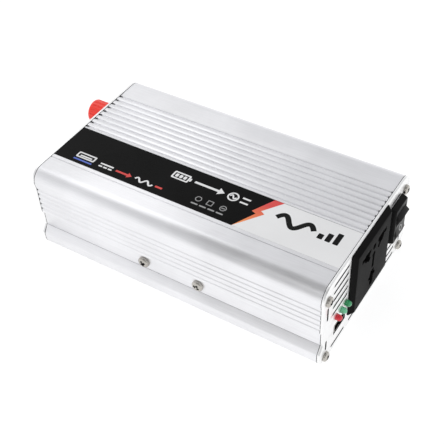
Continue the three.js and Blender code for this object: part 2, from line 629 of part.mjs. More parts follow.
/** Hub with pitched blades; the blade is a thin plate turned about its own radius. */
function fanRotor() {
  const front = -PANEL_INNER_X + GAP + 1.2;
  const back = front + FAN_HUB_LENGTH;
  const middle = (front + back) / 2;
  const hub = turned([[front, 0], [front, FAN.hub - 2.2], [front + 1, FAN.hub - 1.2], [back, FAN.hub - 1.2],
    [back, 0]], 24);
  const bladeLength = FAN.blade - FAN.hub + 3;
  const blades = Array.from({ length: FAN.blades }, (_, i) => (
    new THREE.BoxGeometry(1.1, 8.4, bladeLength)
      .rotateZ(THREE.MathUtils.degToRad(-52))
      .translate(middle, 0, FAN.hub - 2.6 + bladeLength / 2)
      .rotateX((2 * Math.PI * i) / FAN.blades)));
  return join([hub, ...blades]).translate(0, FAN.y, FAN.z);
}

addPart('fan_frame', fanFrame(), FINISH.blackPlastic);
addPart('fan_rotor', fanRotor(), FINISH.blackPlastic);

FAN_CORNERS.forEach(([dy, dz], i) => {
  const screw = panHeadScrew(FAN_SCREW).rotateZ(Math.PI);
  addPart(`fan_screw_${i + 1}`, screw.translate(-PANEL_OUTER_X, FAN.y + dy, FAN.z + dz), FINISH.nickel);
});

// ---- Battery terminals ----

/** Insulating collar: a flange outside the panel and a bush through it. */
function terminalCollar() {
  const { flange, radius, bush, inside } = COLLAR;
  const seat = -PANEL_OUTER_X - BEZEL_GAP;
  const front = seat - flange;
  const inner = -PANEL_INNER_X + inside;
  return turned([[front, TERMINAL.bore], [front, radius - 0.8], [front + 0.8, radius], [seat, radius],
    [seat, bush], [inner, bush], [inner, TERMINAL.bore], [front, TERMINAL.bore]]);
}

const STUD_FOOT = { x: -PANEL_INNER_X + COLLAR.inside + GAP, thickness: 4, half: 5 };

/** Threaded stud with a square foot inside the case. */
function terminalStud() {
  const { x, thickness, half } = STUD_FOOT;
  const tip = -117.5;
  const shank = rod(TERMINAL.stud, tip, x + 1, 0, 0, 20);
  return join([shank, block([x, x + thickness], [-half, half], [-half, half])]);
}

const washerBack = -PANEL_OUTER_X - BEZEL_GAP - COLLAR.flange - 0.1;
const washerFront = washerBack - 1;

function terminalWasher() {
  return turned([[washerFront, TERMINAL.bore], [washerFront, 6.4], [washerBack, 6.4],
    [washerBack, TERMINAL.bore], [washerFront, TERMINAL.bore]]);
}

/** Screw-down knob: fluted outside, domed front, blind hole for the stud. */
function terminalKnob() {
  const back = washerFront - 0.2;
  const front = back - TERMINAL.length;
  const r = TERMINAL.knob;
  const body = turned([[front, 0], [front, r - 1.4], [front + 0.5, r - 0.5], [front + 1.4, r],
    [back - 0.6, r], [back, r - 0.6], [back, 0]], 32);
  const flutes = Array.from({ length: FLUTES }, (_, i) => (
    rod(0.8, front + 2.4, back + 1, 0, r + 0.35, 6).rotateX((2 * Math.PI * i) / FLUTES)));
  return cut(body, [...flutes, rod(TERMINAL.bore, front + 2.2, back + 1, 0, 0, 16)]);
}

for (const [name, z, finish] of [['red', TERMINAL.redZ, FINISH.redPlastic],
  ['black', TERMINAL.blackZ, FINISH.blackPlastic]]) {
  const place = (geometry) => geometry.translate(0, TERMINAL.y, z);
  addPart(`${name}_terminal_collar`, place(terminalCollar()), finish);
  addPart(`${name}_terminal_stud`, place(terminalStud()), FINISH.brass);
  addPart(`${name}_terminal_washer`, place(terminalWasher()), FINISH.nickel);
  addPart(`${name}_terminal_knob`, place(terminalKnob()), finish);
}

/** Copper strap from a stud's foot down to the main board. */
function busStrap(z, footX, y) {
  const [width, thickness] = [7, 1];
  const outer = STUD_FOOT.x + STUD_FOOT.thickness + GAP;
  const inner = outer + thickness;
  const [top, bend] = [z + 4, z - 3];
  const boardTop = PART_FLOOR + thickness;
  const strap = polygon([[outer, top], [outer, bend], [footX - 4, boardTop], [footX - 4, PART_FLOOR],
    [footX + 6, PART_FLOOR], [footX + 6, boardTop], [footX - 3.2, boardTop], [inner, bend + 0.2],
    [inner, top]]);
  const geometry = new THREE.ExtrudeGeometry(strap, { depth: width, bevelEnabled: false });
  return geometry.rotateX(Math.PI / 2).translate(0, y + width / 2, 0);
}

addPart('red_bus_strap', busStrap(TERMINAL.redZ, -74, TERMINAL.y), FINISH.copper);
addPart('black_bus_strap', busStrap(TERMINAL.blackZ, -85, TERMINAL.y), FINISH.copper);

// ---- Main board and what it carries ----

addPart('insulating_sheet', block([-95, 95], [-46.5, 46.5], [WALL + 0.2, WALL + 0.7]), FINISH.film);
addPart('main_board', block([-84, 94], [-55.8, 55.8], [BOARD_BOTTOM, BOARD_TOP]), FINISH.board);

/** Closed E-E ferrite core, its windows open along X. */
function transformerCore(x) {
  const z0 = PART_FLOOR + 1;
  const core = block([x - CORE.depth / 2, x + CORE.depth / 2], [-CORE.width / 2, CORE.width / 2],
    [z0, z0 + CORE.height]);
  const windows = [-1, 1].map((side) => {
    const spanY = [side * CORE.limb, side * (CORE.width / 2 - CORE.outer)].sort((a, b) => a - b);
    return block([x - CORE.depth, x + CORE.depth], spanY, [z0 + CORE.yoke, z0 + CORE.height - CORE.yoke]);
  });
  return cut(core, windows);
}

/** Bobbin with its winding, a rounded ring round the middle limb. */
function transformerWinding(x) {
  const { width, depth, corner, play } = WINDING;
  const ring = roundedRectangle(x, 0, width, depth, corner);
  ring.holes.push(squareHole(x, 0, CORE.depth + play, 2 * CORE.limb + play));
  const endGap = 0.4;
  const height = CORE.height - 2 * (CORE.yoke + endGap);
  const geometry = new THREE.ExtrudeGeometry(ring, { depth: height, bevelEnabled: false, curveSegments: 4 });
  return geometry.translate(0, 0, PART_FLOOR + 1 + CORE.yoke + endGap);
}

TRANSFORMER_X.forEach((x, i) => {
  addPart(`transformer_core_${i + 1}`, transformerCore(x), FINISH.ferrite);
  addPart(`transformer_winding_${i + 1}`, transformerWinding(x), FINISH.winding);
});

/** Electrolytic capacitor standing on the board. */
function capacitor(x, y, radius, height) {
  const profile = [[0, 0], [radius - 0.3, 0], [radius, 0.4], [radius, 1.8], [radius - 0.5, 2.3],
    [radius, 2.8], [radius, height - 0.5], [radius - 0.5, height], [0, height]];
  const can = new THREE.LatheGeometry(profile.map(([r, h]) => new THREE.Vector2(r, h)), 20);
  return can.rotateX(Math.PI / 2).translate(x, y, PART_FLOOR);
}

addPart('input_capacitor_1', capacitor(-74, -30, 8, 25), FINISH.sleeve);
addPart('input_capacitor_2', capacitor(-74, -10, 8, 25), FINISH.sleeve);
addPart('output_capacitor', capacitor(44, 22, 11, 35), FINISH.sleeve);

/** A span of distances from the middle, on one side of it. */
const onSide = (side, [from, to]) => (side > 0 ? [from, to] : [-to, -from]);

/** Power transistor: moulded body on its metal tab, standing on three legs. */
function transistor(x, side) {
  const width = [x - TAB.half, x + TAB.half];
  const tab = block(width, onSide(side, TAB.y), TAB.z);
  const body = block(width, onSide(side, MOULD.y), MOULD.z);
  const legs = [-LEG.pitch, 0, LEG.pitch].map((dx) => (
    block([x + dx - LEG.half, x + dx + LEG.half], onSide(side, LEG.y), [PART_FLOOR, MOULD.z[0] + 0.4])));
  return join([tab, body, ...legs]);
}

for (const [side, sideName] of [[-1, 'near'], [1, 'far']]) {
  TRANSISTOR_X.forEach((x, i) => {
    addPart(`transistor_${sideName}_${i + 1}`, transistor(x, side), FINISH.blackPlastic);
  });
  const bar = block(CLAMP.x, onSide(side, CLAMP.y), CLAMP.z);
  addPart(`clamp_bar_${sideName}`, cut(bar, sideScrewHoles()), FINISH.aluminium);
}

export default group;
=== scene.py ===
"""Looks of a small car power inverter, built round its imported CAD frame.

Shapes are drawn in millimetres and turned into metres by finished(). +X points to the AC end, -Y to the long
side next to the label and +Z up. The origin is the middle of the underside.
"""
import math

import bmesh
import bpy
from mathutils import Matrix, Vector


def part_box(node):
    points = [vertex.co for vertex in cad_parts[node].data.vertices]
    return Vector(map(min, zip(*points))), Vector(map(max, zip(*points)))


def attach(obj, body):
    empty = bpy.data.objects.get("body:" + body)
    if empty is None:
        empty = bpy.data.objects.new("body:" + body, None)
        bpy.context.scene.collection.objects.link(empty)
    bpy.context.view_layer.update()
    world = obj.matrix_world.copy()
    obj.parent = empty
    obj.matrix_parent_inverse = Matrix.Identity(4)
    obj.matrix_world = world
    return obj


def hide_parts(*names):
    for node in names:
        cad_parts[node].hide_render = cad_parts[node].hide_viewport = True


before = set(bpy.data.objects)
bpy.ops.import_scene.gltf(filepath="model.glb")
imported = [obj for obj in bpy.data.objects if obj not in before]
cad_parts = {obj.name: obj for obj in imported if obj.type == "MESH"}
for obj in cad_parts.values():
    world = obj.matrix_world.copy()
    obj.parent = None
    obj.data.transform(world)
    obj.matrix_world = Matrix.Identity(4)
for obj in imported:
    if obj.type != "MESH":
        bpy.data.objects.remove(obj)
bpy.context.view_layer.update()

MM = 0.001
CASE = "case"
SIDES = {"near": -1, "far": 1}


def box(node):
    """Lowest and highest corner of a CAD node, in millimetres."""
    low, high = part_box(node)
    return low / MM, high / MM


def middle(node):
    low, high = box(node)
    return (low + high) / 2


# ---- Sizes taken from the frame ----
COVER_LOW, COVER_HIGH = box("top_cover")
TRAY_HIGH = box("base_tray")[1]
HALF_LENGTH = COVER_HIGH.x
HEIGHT = COVER_HIGH.z
SEAM = COVER_LOW.z - 0.06  # the cover starts a hair above the tray's shoulder
PANEL_INNER, PANEL_OUTER = box("ac_end_panel")[0].x, box("ac_end_panel")[1].x

# ---- Sizes of the profiles ----
WALL = 2.2
SHOULDER = 9.2
SHOULDER_Y = 57.4
SIDE_Y = 56.7
BAND_Y = 55.2
RAIL_Y = TRAY_HIGH.y
RAIL_RADIUS = 7
RAIL_TOP = 11.8
BAND_TOP = 27.6
SIDE_BOTTOM = 28.4
SIDE_TOP = 48.6
SIDE_GROOVES = 5
SIDE_GROOVE_DEPTH = 0.5
CORNER = 48.2
RIB_PITCH = 4.59
FIRST_GROOVE = -2.8
GROOVES = [FIRST_GROOVE + i * RIB_PITCH for i in range(9)]
GROOVE_WIDTH = 1.6
GROOVE_DEPTH = 1.2
RIB_FALL = 0.2  # how far a rib's crown falls towards its grooves
LABEL_NEAR, LABEL_FAR = -36.2, -5.2
LABEL_DEPTH = 0.4
FINE_GROOVE_Y = -38.9
PANEL_SCREW_Y = 51.5
PANEL_SCREW_HEIGHTS = (3.6, 51.5)
PANEL_SCREWS = [(side * PANEL_SCREW_Y, z) for z in PANEL_SCREW_HEIGHTS for side in (-1, 1)]
SIDE_SCREWS_X = (-21, 18.3)
SIDE_SCREW_Z = 21.8
SCREW_HOLE = 1.75
SIDE_SCREW_HOLE = 2.25
VENT_WIDTH = 1.9
EDGE_VENT_Y, EDGE_VENT_WIDTH = 51, 1.8
LAMP_RADIUS = 1.95
FAN_Y, FAN_Z = middle("fan_frame").yz
FAN_SCREW = 20
FAN_BORE = 23.6
FAN_SCREWS = [(FAN_Y + a, FAN_Z + b) for a in (-FAN_SCREW, FAN_SCREW) for b in (-FAN_SCREW, FAN_SCREW)]
TERMINAL_Y = middle("red_terminal_knob").y
BUSH_RADIUS = 4.3  # of the collar's part inside the panel
TERMINAL_Z = {name: middle(f"{name}_terminal_knob").z for name in ("red", "black")}

ALONG_X = Matrix(((0, 0, 1, 0), (1, 0, 0, 0), (0, 1, 0, 0), (0, 0, 0, 1)))  # outline (y, z), depth along X
ALONG_Y = Matrix(((1, 0, 0, 0), (0, 0, -1, 0), (0, 1, 0, 0), (0, 0, 0, 1)))  # outline (x, z), depth along -Y


# ---- Outlines: closed lists of (a, b) ----

def arc(a, b, radius, start, stop, steps):
    """Points on an arc; angles in degrees."""
    angles = [math.radians(start + (stop - start) * i / steps) for i in range(steps + 1)]
    return [(a + radius * math.cos(t), b + radius * math.sin(t)) for t in angles]


def circle(a, b, radius, steps=32):
    return arc(a, b, radius, 0, 360 - 360 / steps, steps - 1)


def slot(a, b, length, width, upright=False, steps=6):
    r, half = width / 2, (length - width) / 2
    loop = arc(half, 0, r, -90, 90, steps) + arc(-half, 0, r, 90, 270, steps)
    return [(a - q, b + p) if upright else (a + p, b + q) for p, q in loop]


def rectangle(a, b, width, height, radius=0.0, steps=4):
    w, h = width / 2, height / 2
    if radius <= 0:
        return [(a - w, b - h), (a + w, b - h), (a + w, b + h), (a - w, b + h)]
    corners = [(w, h, 0), (-w, h, 90), (-w, -h, 180), (w, -h, 270)]
    return [point for x, y, start in corners
            for point in arc(a + x - math.copysign(radius, x), b + y - math.copysign(radius, y),
                             radius, start, start + 90, steps)]


def turned_outline(loop, degrees, a, b):
    """The loop turned about the origin, then moved to (a, b)."""
    c, s = math.cos(math.radians(degrees)), math.sin(math.radians(degrees))
    return [(a + x * c - y * s, b + x * s + y * c) for x, y in loop]


def softened(points, radius, steps=4, closed=True):
    """The polyline with each corner replaced by a small curve."""
    made = []
    last = len(points) - 1
    for i, point in enumerate(points):
        here = Vector(point)
        if not closed and i in (0, last):
            made.append(tuple(here))
            continue
        before, after = Vector(points[i - 1]) - here, Vector(points[(i + 1) % len(points)]) - here
        start = here + before.normalized() * min(radius, before.length * 0.45)
        end = here + after.normalized() * min(radius, after.length * 0.45)
        for k in range(steps + 1):
            t = k / steps
            made.append(tuple(start * (1 - t) ** 2 + here * 2 * t * (1 - t) + end * t ** 2))
    return made


def ribbon(path, width):
    """A line of even width along a path."""
    left, right = [], []
    for i, point in enumerate(path):
        along = Vector(path[min(i + 1, len(path) - 1)]) - Vector(path[max(i - 1, 0)])
        across = Vector((-along.y, along.x)).normalized() * width / 2
        left.append(tuple(Vector(point) + across))
        right.append(tuple(Vector(point) - across))
    return right + left[::-1]


def mirror(points):
    """The points on the other side of the middle, in reverse order."""
    return [(-a, b) for a, b in reversed(points) if a > 0]


# ---- Meshes ----

def tidy(mesh):
    """Joins doubled corners and turns every face outwards."""
    work = bmesh.new()
    work.from_mesh(mesh)
    bmesh.ops.remove_doubles(work, verts=work.verts, dist=1e-4)
    bmesh.ops.recalc_face_normals(work, faces=work.faces)
    work.to_mesh(mesh)
    work.free()
    return mesh


def mesh_from(points, faces):
    mesh = bpy.data.meshes.new("shape")
    mesh.from_pydata(points, [], faces)
    return tidy(mesh)


def evaluated(obj):
    """The object's mesh with its modifiers applied, after which the object is removed."""
    graph = bpy.context.evaluated_depsgraph_get()
    mesh = bpy.data.meshes.new_from_object(obj.evaluated_get(graph))
    bpy.data.objects.remove(obj)
    return mesh


def linked(name, data):
    obj = bpy.data.objects.new(name, data)
    bpy.context.scene.collection.objects.link(obj)
    return obj


def prism(loops, start, stop, edge=0.0, turn=ALONG_X):
    """Outlines filled and drawn out from start to stop, with rounded rims of size edge."""
    curve = bpy.data.curves.new("outline", "CURVE")
    curve.dimensions = "2D"
    curve.fill_mode = "BOTH"
    curve.extrude = (stop - start) / 2 - edge
    curve.bevel_depth = edge
    curve.bevel_resolution = 1
    curve.offset = -edge
    for loop in loops:
        spline = curve.splines.new("POLY")
        spline.points.add(len(loop) - 1)
        for corner, (a, b) in zip(spline.points, loop):
            corner.co = (a, b, 0, 1)
        spline.use_cyclic_u = True
    mesh = tidy(evaluated(linked("outline", curve)))
    mesh.transform(turn @ at(0, 0, (start + stop) / 2))
    return mesh


def flat(loops, low, high, edge=0.0):
    """Outlines in (x, y) drawn out upwards."""
    return prism(loops, low, high, edge, Matrix.Identity(4))


def block(low, high, edge=0.2):
    """A bar with softened edges between two corners."""
    centre = [(a + b) / 2 for a, b in zip(low, high)]
    loop = rectangle(centre[1], centre[2], high[1] - low[1], high[2] - low[2], edge, 2)
    return prism([loop], low[0], high[0], edge * 0.8)


def beam(start, stop, y, z, width, height, edge=0.2):
    """A block from start to stop along X, round the line through (y, z)."""
    w, h = width / 2, height / 2
    return block((start, y - w, z - h), (stop, y + w, z + h), edge)


def loft(rings):
    """Rings of equal length joined into a closed body."""
    size = len(rings[0])
    faces = [list(range(size)), [size * (len(rings) - 1) + i for i in range(size)]]
    for k in range(len(rings) - 1):
        for i in range(size):
            j = (i + 1) % size
            faces.append([k * size + i, k * size + j, (k + 1) * size + j, (k + 1) * size + i])
    return mesh_from([point for ring in rings for point in ring], faces)


def lathe(profile, steps=48, radius_at=None):
    """A body turned about the X axis from (x, radius) points. A profile that never meets the axis closes on
    itself. radius_at(radius, angle, index) can shape each ring."""
    shape = radius_at or (lambda radius, angle, index: radius)
    rings = []
    points = []
    for index, (x, radius) in enumerate(profile):
        if radius < 1e-6:
            rings.append([len(points)] * steps)
            points.append((x, 0, 0))
            continue
        rings.append(list(range(len(points), len(points) + steps)))
        for i in range(steps):
            angle = 2 * math.pi * i / steps
            r = shape(radius, angle, index)
            points.append((x, r * math.cos(angle), r * math.sin(angle)))
    pairs = list(zip(rings, rings[1:]))
    if profile[0][1] > 1e-6:
        pairs.append((rings[-1], rings[0]))
    faces = []
    for one, two in pairs:
        for i in range(steps):
            j = (i + 1) % steps
            corners = list(dict.fromkeys([one[i], one[j], two[j], two[i]]))
            if len(corners) > 2:
                faces.append(corners)
    return mesh_from(points, faces)


def moved(mesh, matrix):
    mesh.transform(matrix)
    return mesh


def at(x, y, z):
    return Matrix.Translation((x, y, z))


def rotation(degrees, axis):
    return Matrix.Rotation(math.radians(degrees), 4, axis)


def together(meshes):
    """Separate bodies as one mesh."""
    work = bmesh.new()
    for mesh in meshes:
        work.from_mesh(mesh)
    joined = bpy.data.meshes.new("shape")
    work.to_mesh(joined)
    work.free()
    return joined


def combined(mesh, tools, operation="DIFFERENCE"):
    """The mesh with each tool cut away from it or added to it."""
    base = linked("base", mesh)
    helpers = [linked("tool", tool) for tool in tools]
    for helper in helpers:
        step = base.modifiers.new("step", "BOOLEAN")
        step.operation = operation
        step.solver = "EXACT"
        step.object = helper
    result = evaluated(base)
    for helper in helpers:
        bpy.data.objects.remove(helper)
    return tidy(result)


def finished(name, mesh, look, body=CASE, replaces=(), sharp=32, place=None, hollow=None):
    """A piece of the object: in metres, shaded smooth up to its sharp edges, riding on its body. Faces for
    which the painted-shade test (centre, normal) is true, in the mesh's own millimetres, get painted shade: a
    dull near-black colour standing in for the shadow they would lie in."""
    mesh = mesh.copy()
    mesh.materials.clear()
    mesh.materials.append(LOOKS[look])
    # Painted shade: faces picked by the test get the near-black shade material.
    if hollow:
        mesh.materials.append(LOOKS["hollow"])
        for face in mesh.polygons:
            face.material_index = int(hollow(face.center, face.normal))
    if place is not None:
        mesh = moved(mesh, place)
    mesh.transform(Matrix.Scale(MM, 4))
    mesh.name = name
    mesh.shade_smooth()
    mesh.set_sharp_from_angle(angle=math.radians(sharp))
    piece = linked(name, mesh)
    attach(piece, body)
    if replaces:
        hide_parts(*replaces)
    return piece


# ---- Materials ----

def add(tree, kind, **settings):
    made = tree.nodes.new(kind)
    for key, value in settings.items():
        setattr(made, key, value)
    return made


def fill(node, **values):
    """Sets constants on the node's sockets; an underscore stands for a space in a socket's name."""
    for key, value in values.items():
        node.inputs[key.replace("_", " ")].default_value = value


def noise(tree, vector, scale, detail=4.0, roughness=0.6):
    made = add(tree, "ShaderNodeTexNoise")
    fill(made, Scale=scale, Detail=detail, Roughness=roughness)
    tree.links.new(vector, made.inputs["Vector"])
    return made.outputs["Fac"]


def spread(tree, value, low, high, start=0.3, stop=0.7):
    """The value's range from start to stop taken to low..high."""
    made = add(tree, "ShaderNodeMapRange")
    fill(made, From_Min=start, From_Max=stop, To_Min=low, To_Max=high)
    tree.links.new(value, made.inputs["Value"])
    return made.outputs["Result"]


def blend(tree, factor, one, two):
    """A colour between one and two; each is a colour or a socket."""
    made = add(tree, "ShaderNodeMix", data_type="RGBA")
    tree.links.new(factor, made.inputs[0])
    for socket, colour in ((made.inputs[6], one), (made.inputs[7], two)):
        if isinstance(colour, bpy.types.NodeSocket):
            tree.links.new(colour, socket)
        else:
            socket.default_value = (*colour, 1)
    return made.outputs[2]


def new_material(name):
    """A material, its node tree and its shader."""
    made = bpy.data.materials.new(name)
    made.use_nodes = True
    return made, made.node_tree, made.node_tree.nodes["Principled BSDF"]


def surface(name, dark, light, roughness, metallic=0.0, grain=1200, stretch=(1, 1, 1), relief=0.00002,
            blotch=30, strength=0.35, marks=None, **inputs):
    """Fine grain, drawn out by stretch, and slow blotches vary the colour from dark to light, the roughness
    over its (low, high) and the relief. marks is (scale, threshold, colour) of sparse scuffs."""
    made, tree, shader = new_material(name)
    link = tree.links.new
    coordinates = add(tree, "ShaderNodeTexCoord").outputs["Object"]
    mapping = add(tree, "ShaderNodeMapping")
    fill(mapping, Scale=stretch)
    link(coordinates, mapping.inputs["Vector"])
    drawn = mapping.outputs["Vector"]
    fine = noise(tree, drawn, grain)
    slow = noise(tree, coordinates, blotch, 3)
    half = add(tree, "ShaderNodeMath", operation="MULTIPLY")
    both = add(tree, "ShaderNodeMath", operation="MULTIPLY_ADD")
    for node, value in ((half, slow), (both, fine)):
        link(value, node.inputs[0])
        node.inputs[1].default_value = 0.5
    link(half.outputs[0], both.inputs[2])
    grained = both.outputs[0]
    colour = blend(tree, spread(tree, grained, 0, 1, 0.35, 0.65), dark, light)
    if marks:
        scale, threshold, scuff = marks
        speck = noise(tree, drawn, scale, 8, 0.7)
        colour = blend(tree, spread(tree, speck, 0, 0.6, threshold, threshold + 0.08), colour, scuff)
    link(colour, shader.inputs["Base Color"])
    link(spread(tree, grained, *roughness), shader.inputs["Roughness"])
    fill(shader, Metallic=metallic, **inputs)
    bump = add(tree, "ShaderNodeBump")
    fill(bump, Strength=strength, Distance=relief)
    link(fine, bump.inputs["Height"])
    link(bump.outputs["Normal"], shader.inputs["Normal"])
    return made


def grey(value, blue=0.0):
    return (value, value, value + blue)


def faded_print(name, near, far, near_y, far_y):
    """Printed ink that turns from one colour at near_y to another at far_y, with a fine screen grain."""
    made = surface(name, near, far, (0.3, 0.42), grain=2600)
    tree = made.node_tree
    shader = tree.nodes["Principled BSDF"]
    coordinates = add(tree, "ShaderNodeTexCoord").outputs["Object"]
    split = add(tree, "ShaderNodeSeparateXYZ")
    tree.links.new(coordinates, split.inputs["Vector"])
    across = spread(tree, split.outputs["Y"], 0, 1, near_y * MM, far_y * MM)
    screen = noise(tree, coordinates, 2600, 2)
    colour = blend(tree, across, near, far)
    shade = blend(tree, spread(tree, screen, 0, 0.12), colour, (0.9, 0.5, 0.4))
    tree.links.new(shade, shader.inputs["Base Color"])
    return made


def make_materials():
    drawn_x, drawn_y = (0.02, 1, 1), (1, 0.03, 1)
    black = dict(grain=1500, relief=0.00003)
    inks = {
        "white": (grey(0.72), grey(0.9)),
        "grey": (grey(0.28), grey(0.45)),
        "red": ((0.55, 0.02, 0.02), (0.8, 0.06, 0.05)),
        "blue": ((0.05, 0.1, 0.5), (0.1, 0.2, 0.7)),
    }
    resin = dict(grain=700, Transmission_Weight=0.3, Coat_Weight=0.3)
    return {
        "case": surface("case_aluminium", grey(0.79, 0.018), grey(0.90, 0.02), (0.33, 0.44), 0.92,
            grain=2600, stretch=drawn_x, relief=0.00001, strength=0.25, marks=(420, 0.70, grey(0.72))),
        "panel": surface("panel_aluminium", grey(0.90), grey(0.97), (0.34, 0.44), 0.95, grain=2400,
            stretch=drawn_y, relief=0.00001, strength=0.25, marks=(500, 0.7, grey(0.75))),
        # Painted shade: a dull near-black colour for faces that would lie in shadow, such as sawn ends, the
        # backs and opening walls of the panels, screw recesses and the inside of the USB port.
        "hollow": surface("hollow_shade", grey(0.003), grey(0.008), (0.6, 0.8), grain=1800,
            Specular_IOR_Level=0.06),
        "nickel": surface("nickel_steel", (0.38, 0.36, 0.33), (0.60, 0.58, 0.54), (0.06, 0.16), 1.0,
            grain=2200, marks=(900, 0.62, (0.45, 0.42, 0.38))),
        "silver_film": surface("label_silver", grey(0.82), grey(0.90), (0.32, 0.42), 0.35, grain=4200,
            blotch=18),
        "black_film": surface("label_black", grey(0.004), grey(0.007), (0.22, 0.34), grain=3800,
            Specular_IOR_Level=0.05, marks=(700, 0.68, grey(0.03))),
        **{f"{name}_ink": surface(f"ink_{name}", *colours, (0.3, 0.42), grain=3000)
           for name, colours in inks.items()},
        "dark_ink": surface("ink_dark", grey(0.004), grey(0.008), (0.28, 0.4), grain=3000,
            Specular_IOR_Level=0.1),
        "flash": faded_print("ink_flash", (0.95, 0.3, 0.05), (0.72, 0.03, 0.03), -34, -12),
        "socket": surface("socket_plastic", grey(0.005), grey(0.008), (0.5, 0.62), Specular_IOR_Level=0.04,
            marks=(1400, 0.66, grey(0.03)), **black),
        "rocker": surface("rocker_plastic", grey(0.006), grey(0.012), (0.26, 0.38), Specular_IOR_Level=0.2,
            **black),
        "bezel": surface("bezel_plastic", grey(0.004), grey(0.008), (0.3, 0.42), Specular_IOR_Level=0.1,
            **black),
        "mark": surface("switch_mark", grey(0.30), grey(0.42), (0.35, 0.5), **black),
        "fan": surface("fan_plastic", grey(0.018), grey(0.028), (0.35, 0.5), **black),
        "black_knob": surface("black_knob_plastic", grey(0.014), grey(0.024), (0.26, 0.4), **black),
        "red_knob": surface("red_knob_plastic", (0.93, 0.035, 0.02), (0.99, 0.055, 0.03), (0.28, 0.42),
            grain=1500, relief=0.00003, marks=(1200, 0.68, (0.95, 0.2, 0.15))),
        "green_1": surface("lamp_green_deep", (0.03, 0.34, 0.12), (0.06, 0.46, 0.19), (0.1, 0.2),
            **resin),
        "green_2": surface("lamp_green_pale", (0.12, 0.56, 0.30), (0.22, 0.74, 0.42), (0.1, 0.2),
            **resin),
        "red_lamp": surface("lamp_red", (0.68, 0.006, 0.02), (0.88, 0.02, 0.05), (0.1, 0.2), **resin),
        "white_plastic": surface("white_plastic", grey(0.72), grey(0.84), (0.35, 0.5), grain=1200),
        "gold": surface("contact_gold", (0.75, 0.52, 0.2), (0.9, 0.68, 0.3), (0.15, 0.3), 1.0, grain=2000),
        "brass": surface("brass", (0.55, 0.38, 0.14), (0.75, 0.55, 0.22), (0.2, 0.38), 1.0,
            stretch=drawn_x, marks=(600, 0.66, (0.3, 0.2, 0.1))),
        "copper": surface("copper", (0.55, 0.22, 0.11), (0.78, 0.36, 0.2), (0.22, 0.4), 1.0, blotch=90),
        "board": surface("circuit_board", (0.010, 0.09, 0.03), (0.02, 0.17, 0.06), (0.3, 0.5), grain=600,
            blotch=150, marks=(260, 0.62, (0.5, 0.42, 0.2))),
        "film": surface("insulating_film", (0.62, 0.58, 0.44), (0.75, 0.71, 0.58), (0.4, 0.6), grain=900),
        "ferrite": surface("ferrite", grey(0.03), grey(0.06), (0.5, 0.75), grain=1800, relief=0.00006),
        "winding": surface("winding_tape", (0.62, 0.42, 0.05), (0.85, 0.62, 0.12), (0.35, 0.5), grain=500,
            stretch=(1, 1, 6)),
        "sleeve": surface("capacitor_sleeve", (0.012, 0.02, 0.05), (0.03, 0.045, 0.1), (0.25, 0.4),
            grain=900),
        "mould": surface("transistor_mould", grey(0.015), grey(0.03), (0.45, 0.65), grain=2400),
        "clamp": surface("clamp_aluminium", grey(0.66), grey(0.78), (0.3, 0.45), 0.95, stretch=drawn_x),
    }


LOOKS = make_materials()


def dress(node, look, edge=0.15):
    """Gives a CAD node its material and, through a modifier, softened edges."""
    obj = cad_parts[node]
    obj.data.materials.clear()
    obj.data.materials.append(LOOKS[look])
    rounding = obj.modifiers.new("softened_edges", "BEVEL")
    rounding.width = edge * MM
    rounding.segments = 2
    rounding.limit_method = "ANGLE"
    rounding.angle_limit = math.radians(35)


# ---- Case ----

RAIL_CURVE = arc(RAIL_Y - RAIL_RADIUS, RAIL_RADIUS, RAIL_RADIUS, -90, 0, 20)
SHOULDER_CURVE = arc(SHOULDER_Y - SHOULDER, HEIGHT - SHOULDER, SHOULDER, 0, 90, 28)


def side_profile():
    """The cover's grooved side, going up."""
    pitch = (SIDE_TOP - SIDE_BOTTOM) / SIDE_GROOVES
    floor = SIDE_Y - SIDE_GROOVE_DEPTH
    points = []
    for i in range(SIDE_GROOVES):
        z = SIDE_BOTTOM + pitch * i
        points += [(SIDE_Y, z), (SIDE_Y, z + pitch * 0.52)]
        points += [(floor, z + pitch * 0.66), (floor, z + pitch * 0.9)]
    return softened(points, 0.35, 2, closed=False)


def valley(y, width, depth, steps=10, rim=0.0):
    """A rounded groove in the top, from its far edge to its near edge; its rims lie rim below the top."""
    turns = [-1 + 2 * i / steps for i in range(steps + 1)]
    drop = depth - rim
    return [(y - width / 2 * t, HEIGHT - rim - drop * (1 + math.cos(math.pi * t)) / 2) for t in turns]


def rib(far, near, steps=8, fall=RIB_FALL):
    """The slightly crowned top of a rib, without its ends."""
    shares = [i / steps for i in range(1, steps)]
    return [(far + (near - far) * s, HEIGHT - fall * (2 * s - 1) ** 2) for s in shares]


def top_profile():
    """The cover's top from its far shoulder to its near shoulder."""
    points = []
    for y in reversed(GROOVES):
        points += valley(y, GROOVE_WIDTH, GROOVE_DEPTH, rim=RIB_FALL)
        if y > FIRST_GROOVE:
            points += rib(y - GROOVE_WIDTH / 2, y - RIB_PITCH + GROOVE_WIDTH / 2)
    floor = HEIGHT - LABEL_DEPTH
    points += [(LABEL_FAR, HEIGHT), (LABEL_FAR, floor), (LABEL_NEAR, floor), (LABEL_NEAR, HEIGHT)]
    return points + valley(FINE_GROOVE_Y, 0.7, 0.5, 6)


def cover_profile():
    side = [(BAND_Y, COVER_LOW.z), (BAND_Y, BAND_TOP), *side_profile(), (SIDE_Y, SIDE_TOP),
            *SHOULDER_CURVE]
    inner = [(CORNER, HEIGHT - WALL), (CORNER, CORNER), (SIDE_Y - WALL, CORNER),
             (SIDE_Y - WALL, SIDE_BOTTOM + 2), (BAND_Y - 2, SIDE_BOTTOM + 1), (BAND_Y - 2, COVER_LOW.z)]
    return side + top_profile() + mirror(side) + mirror(inner) + inner


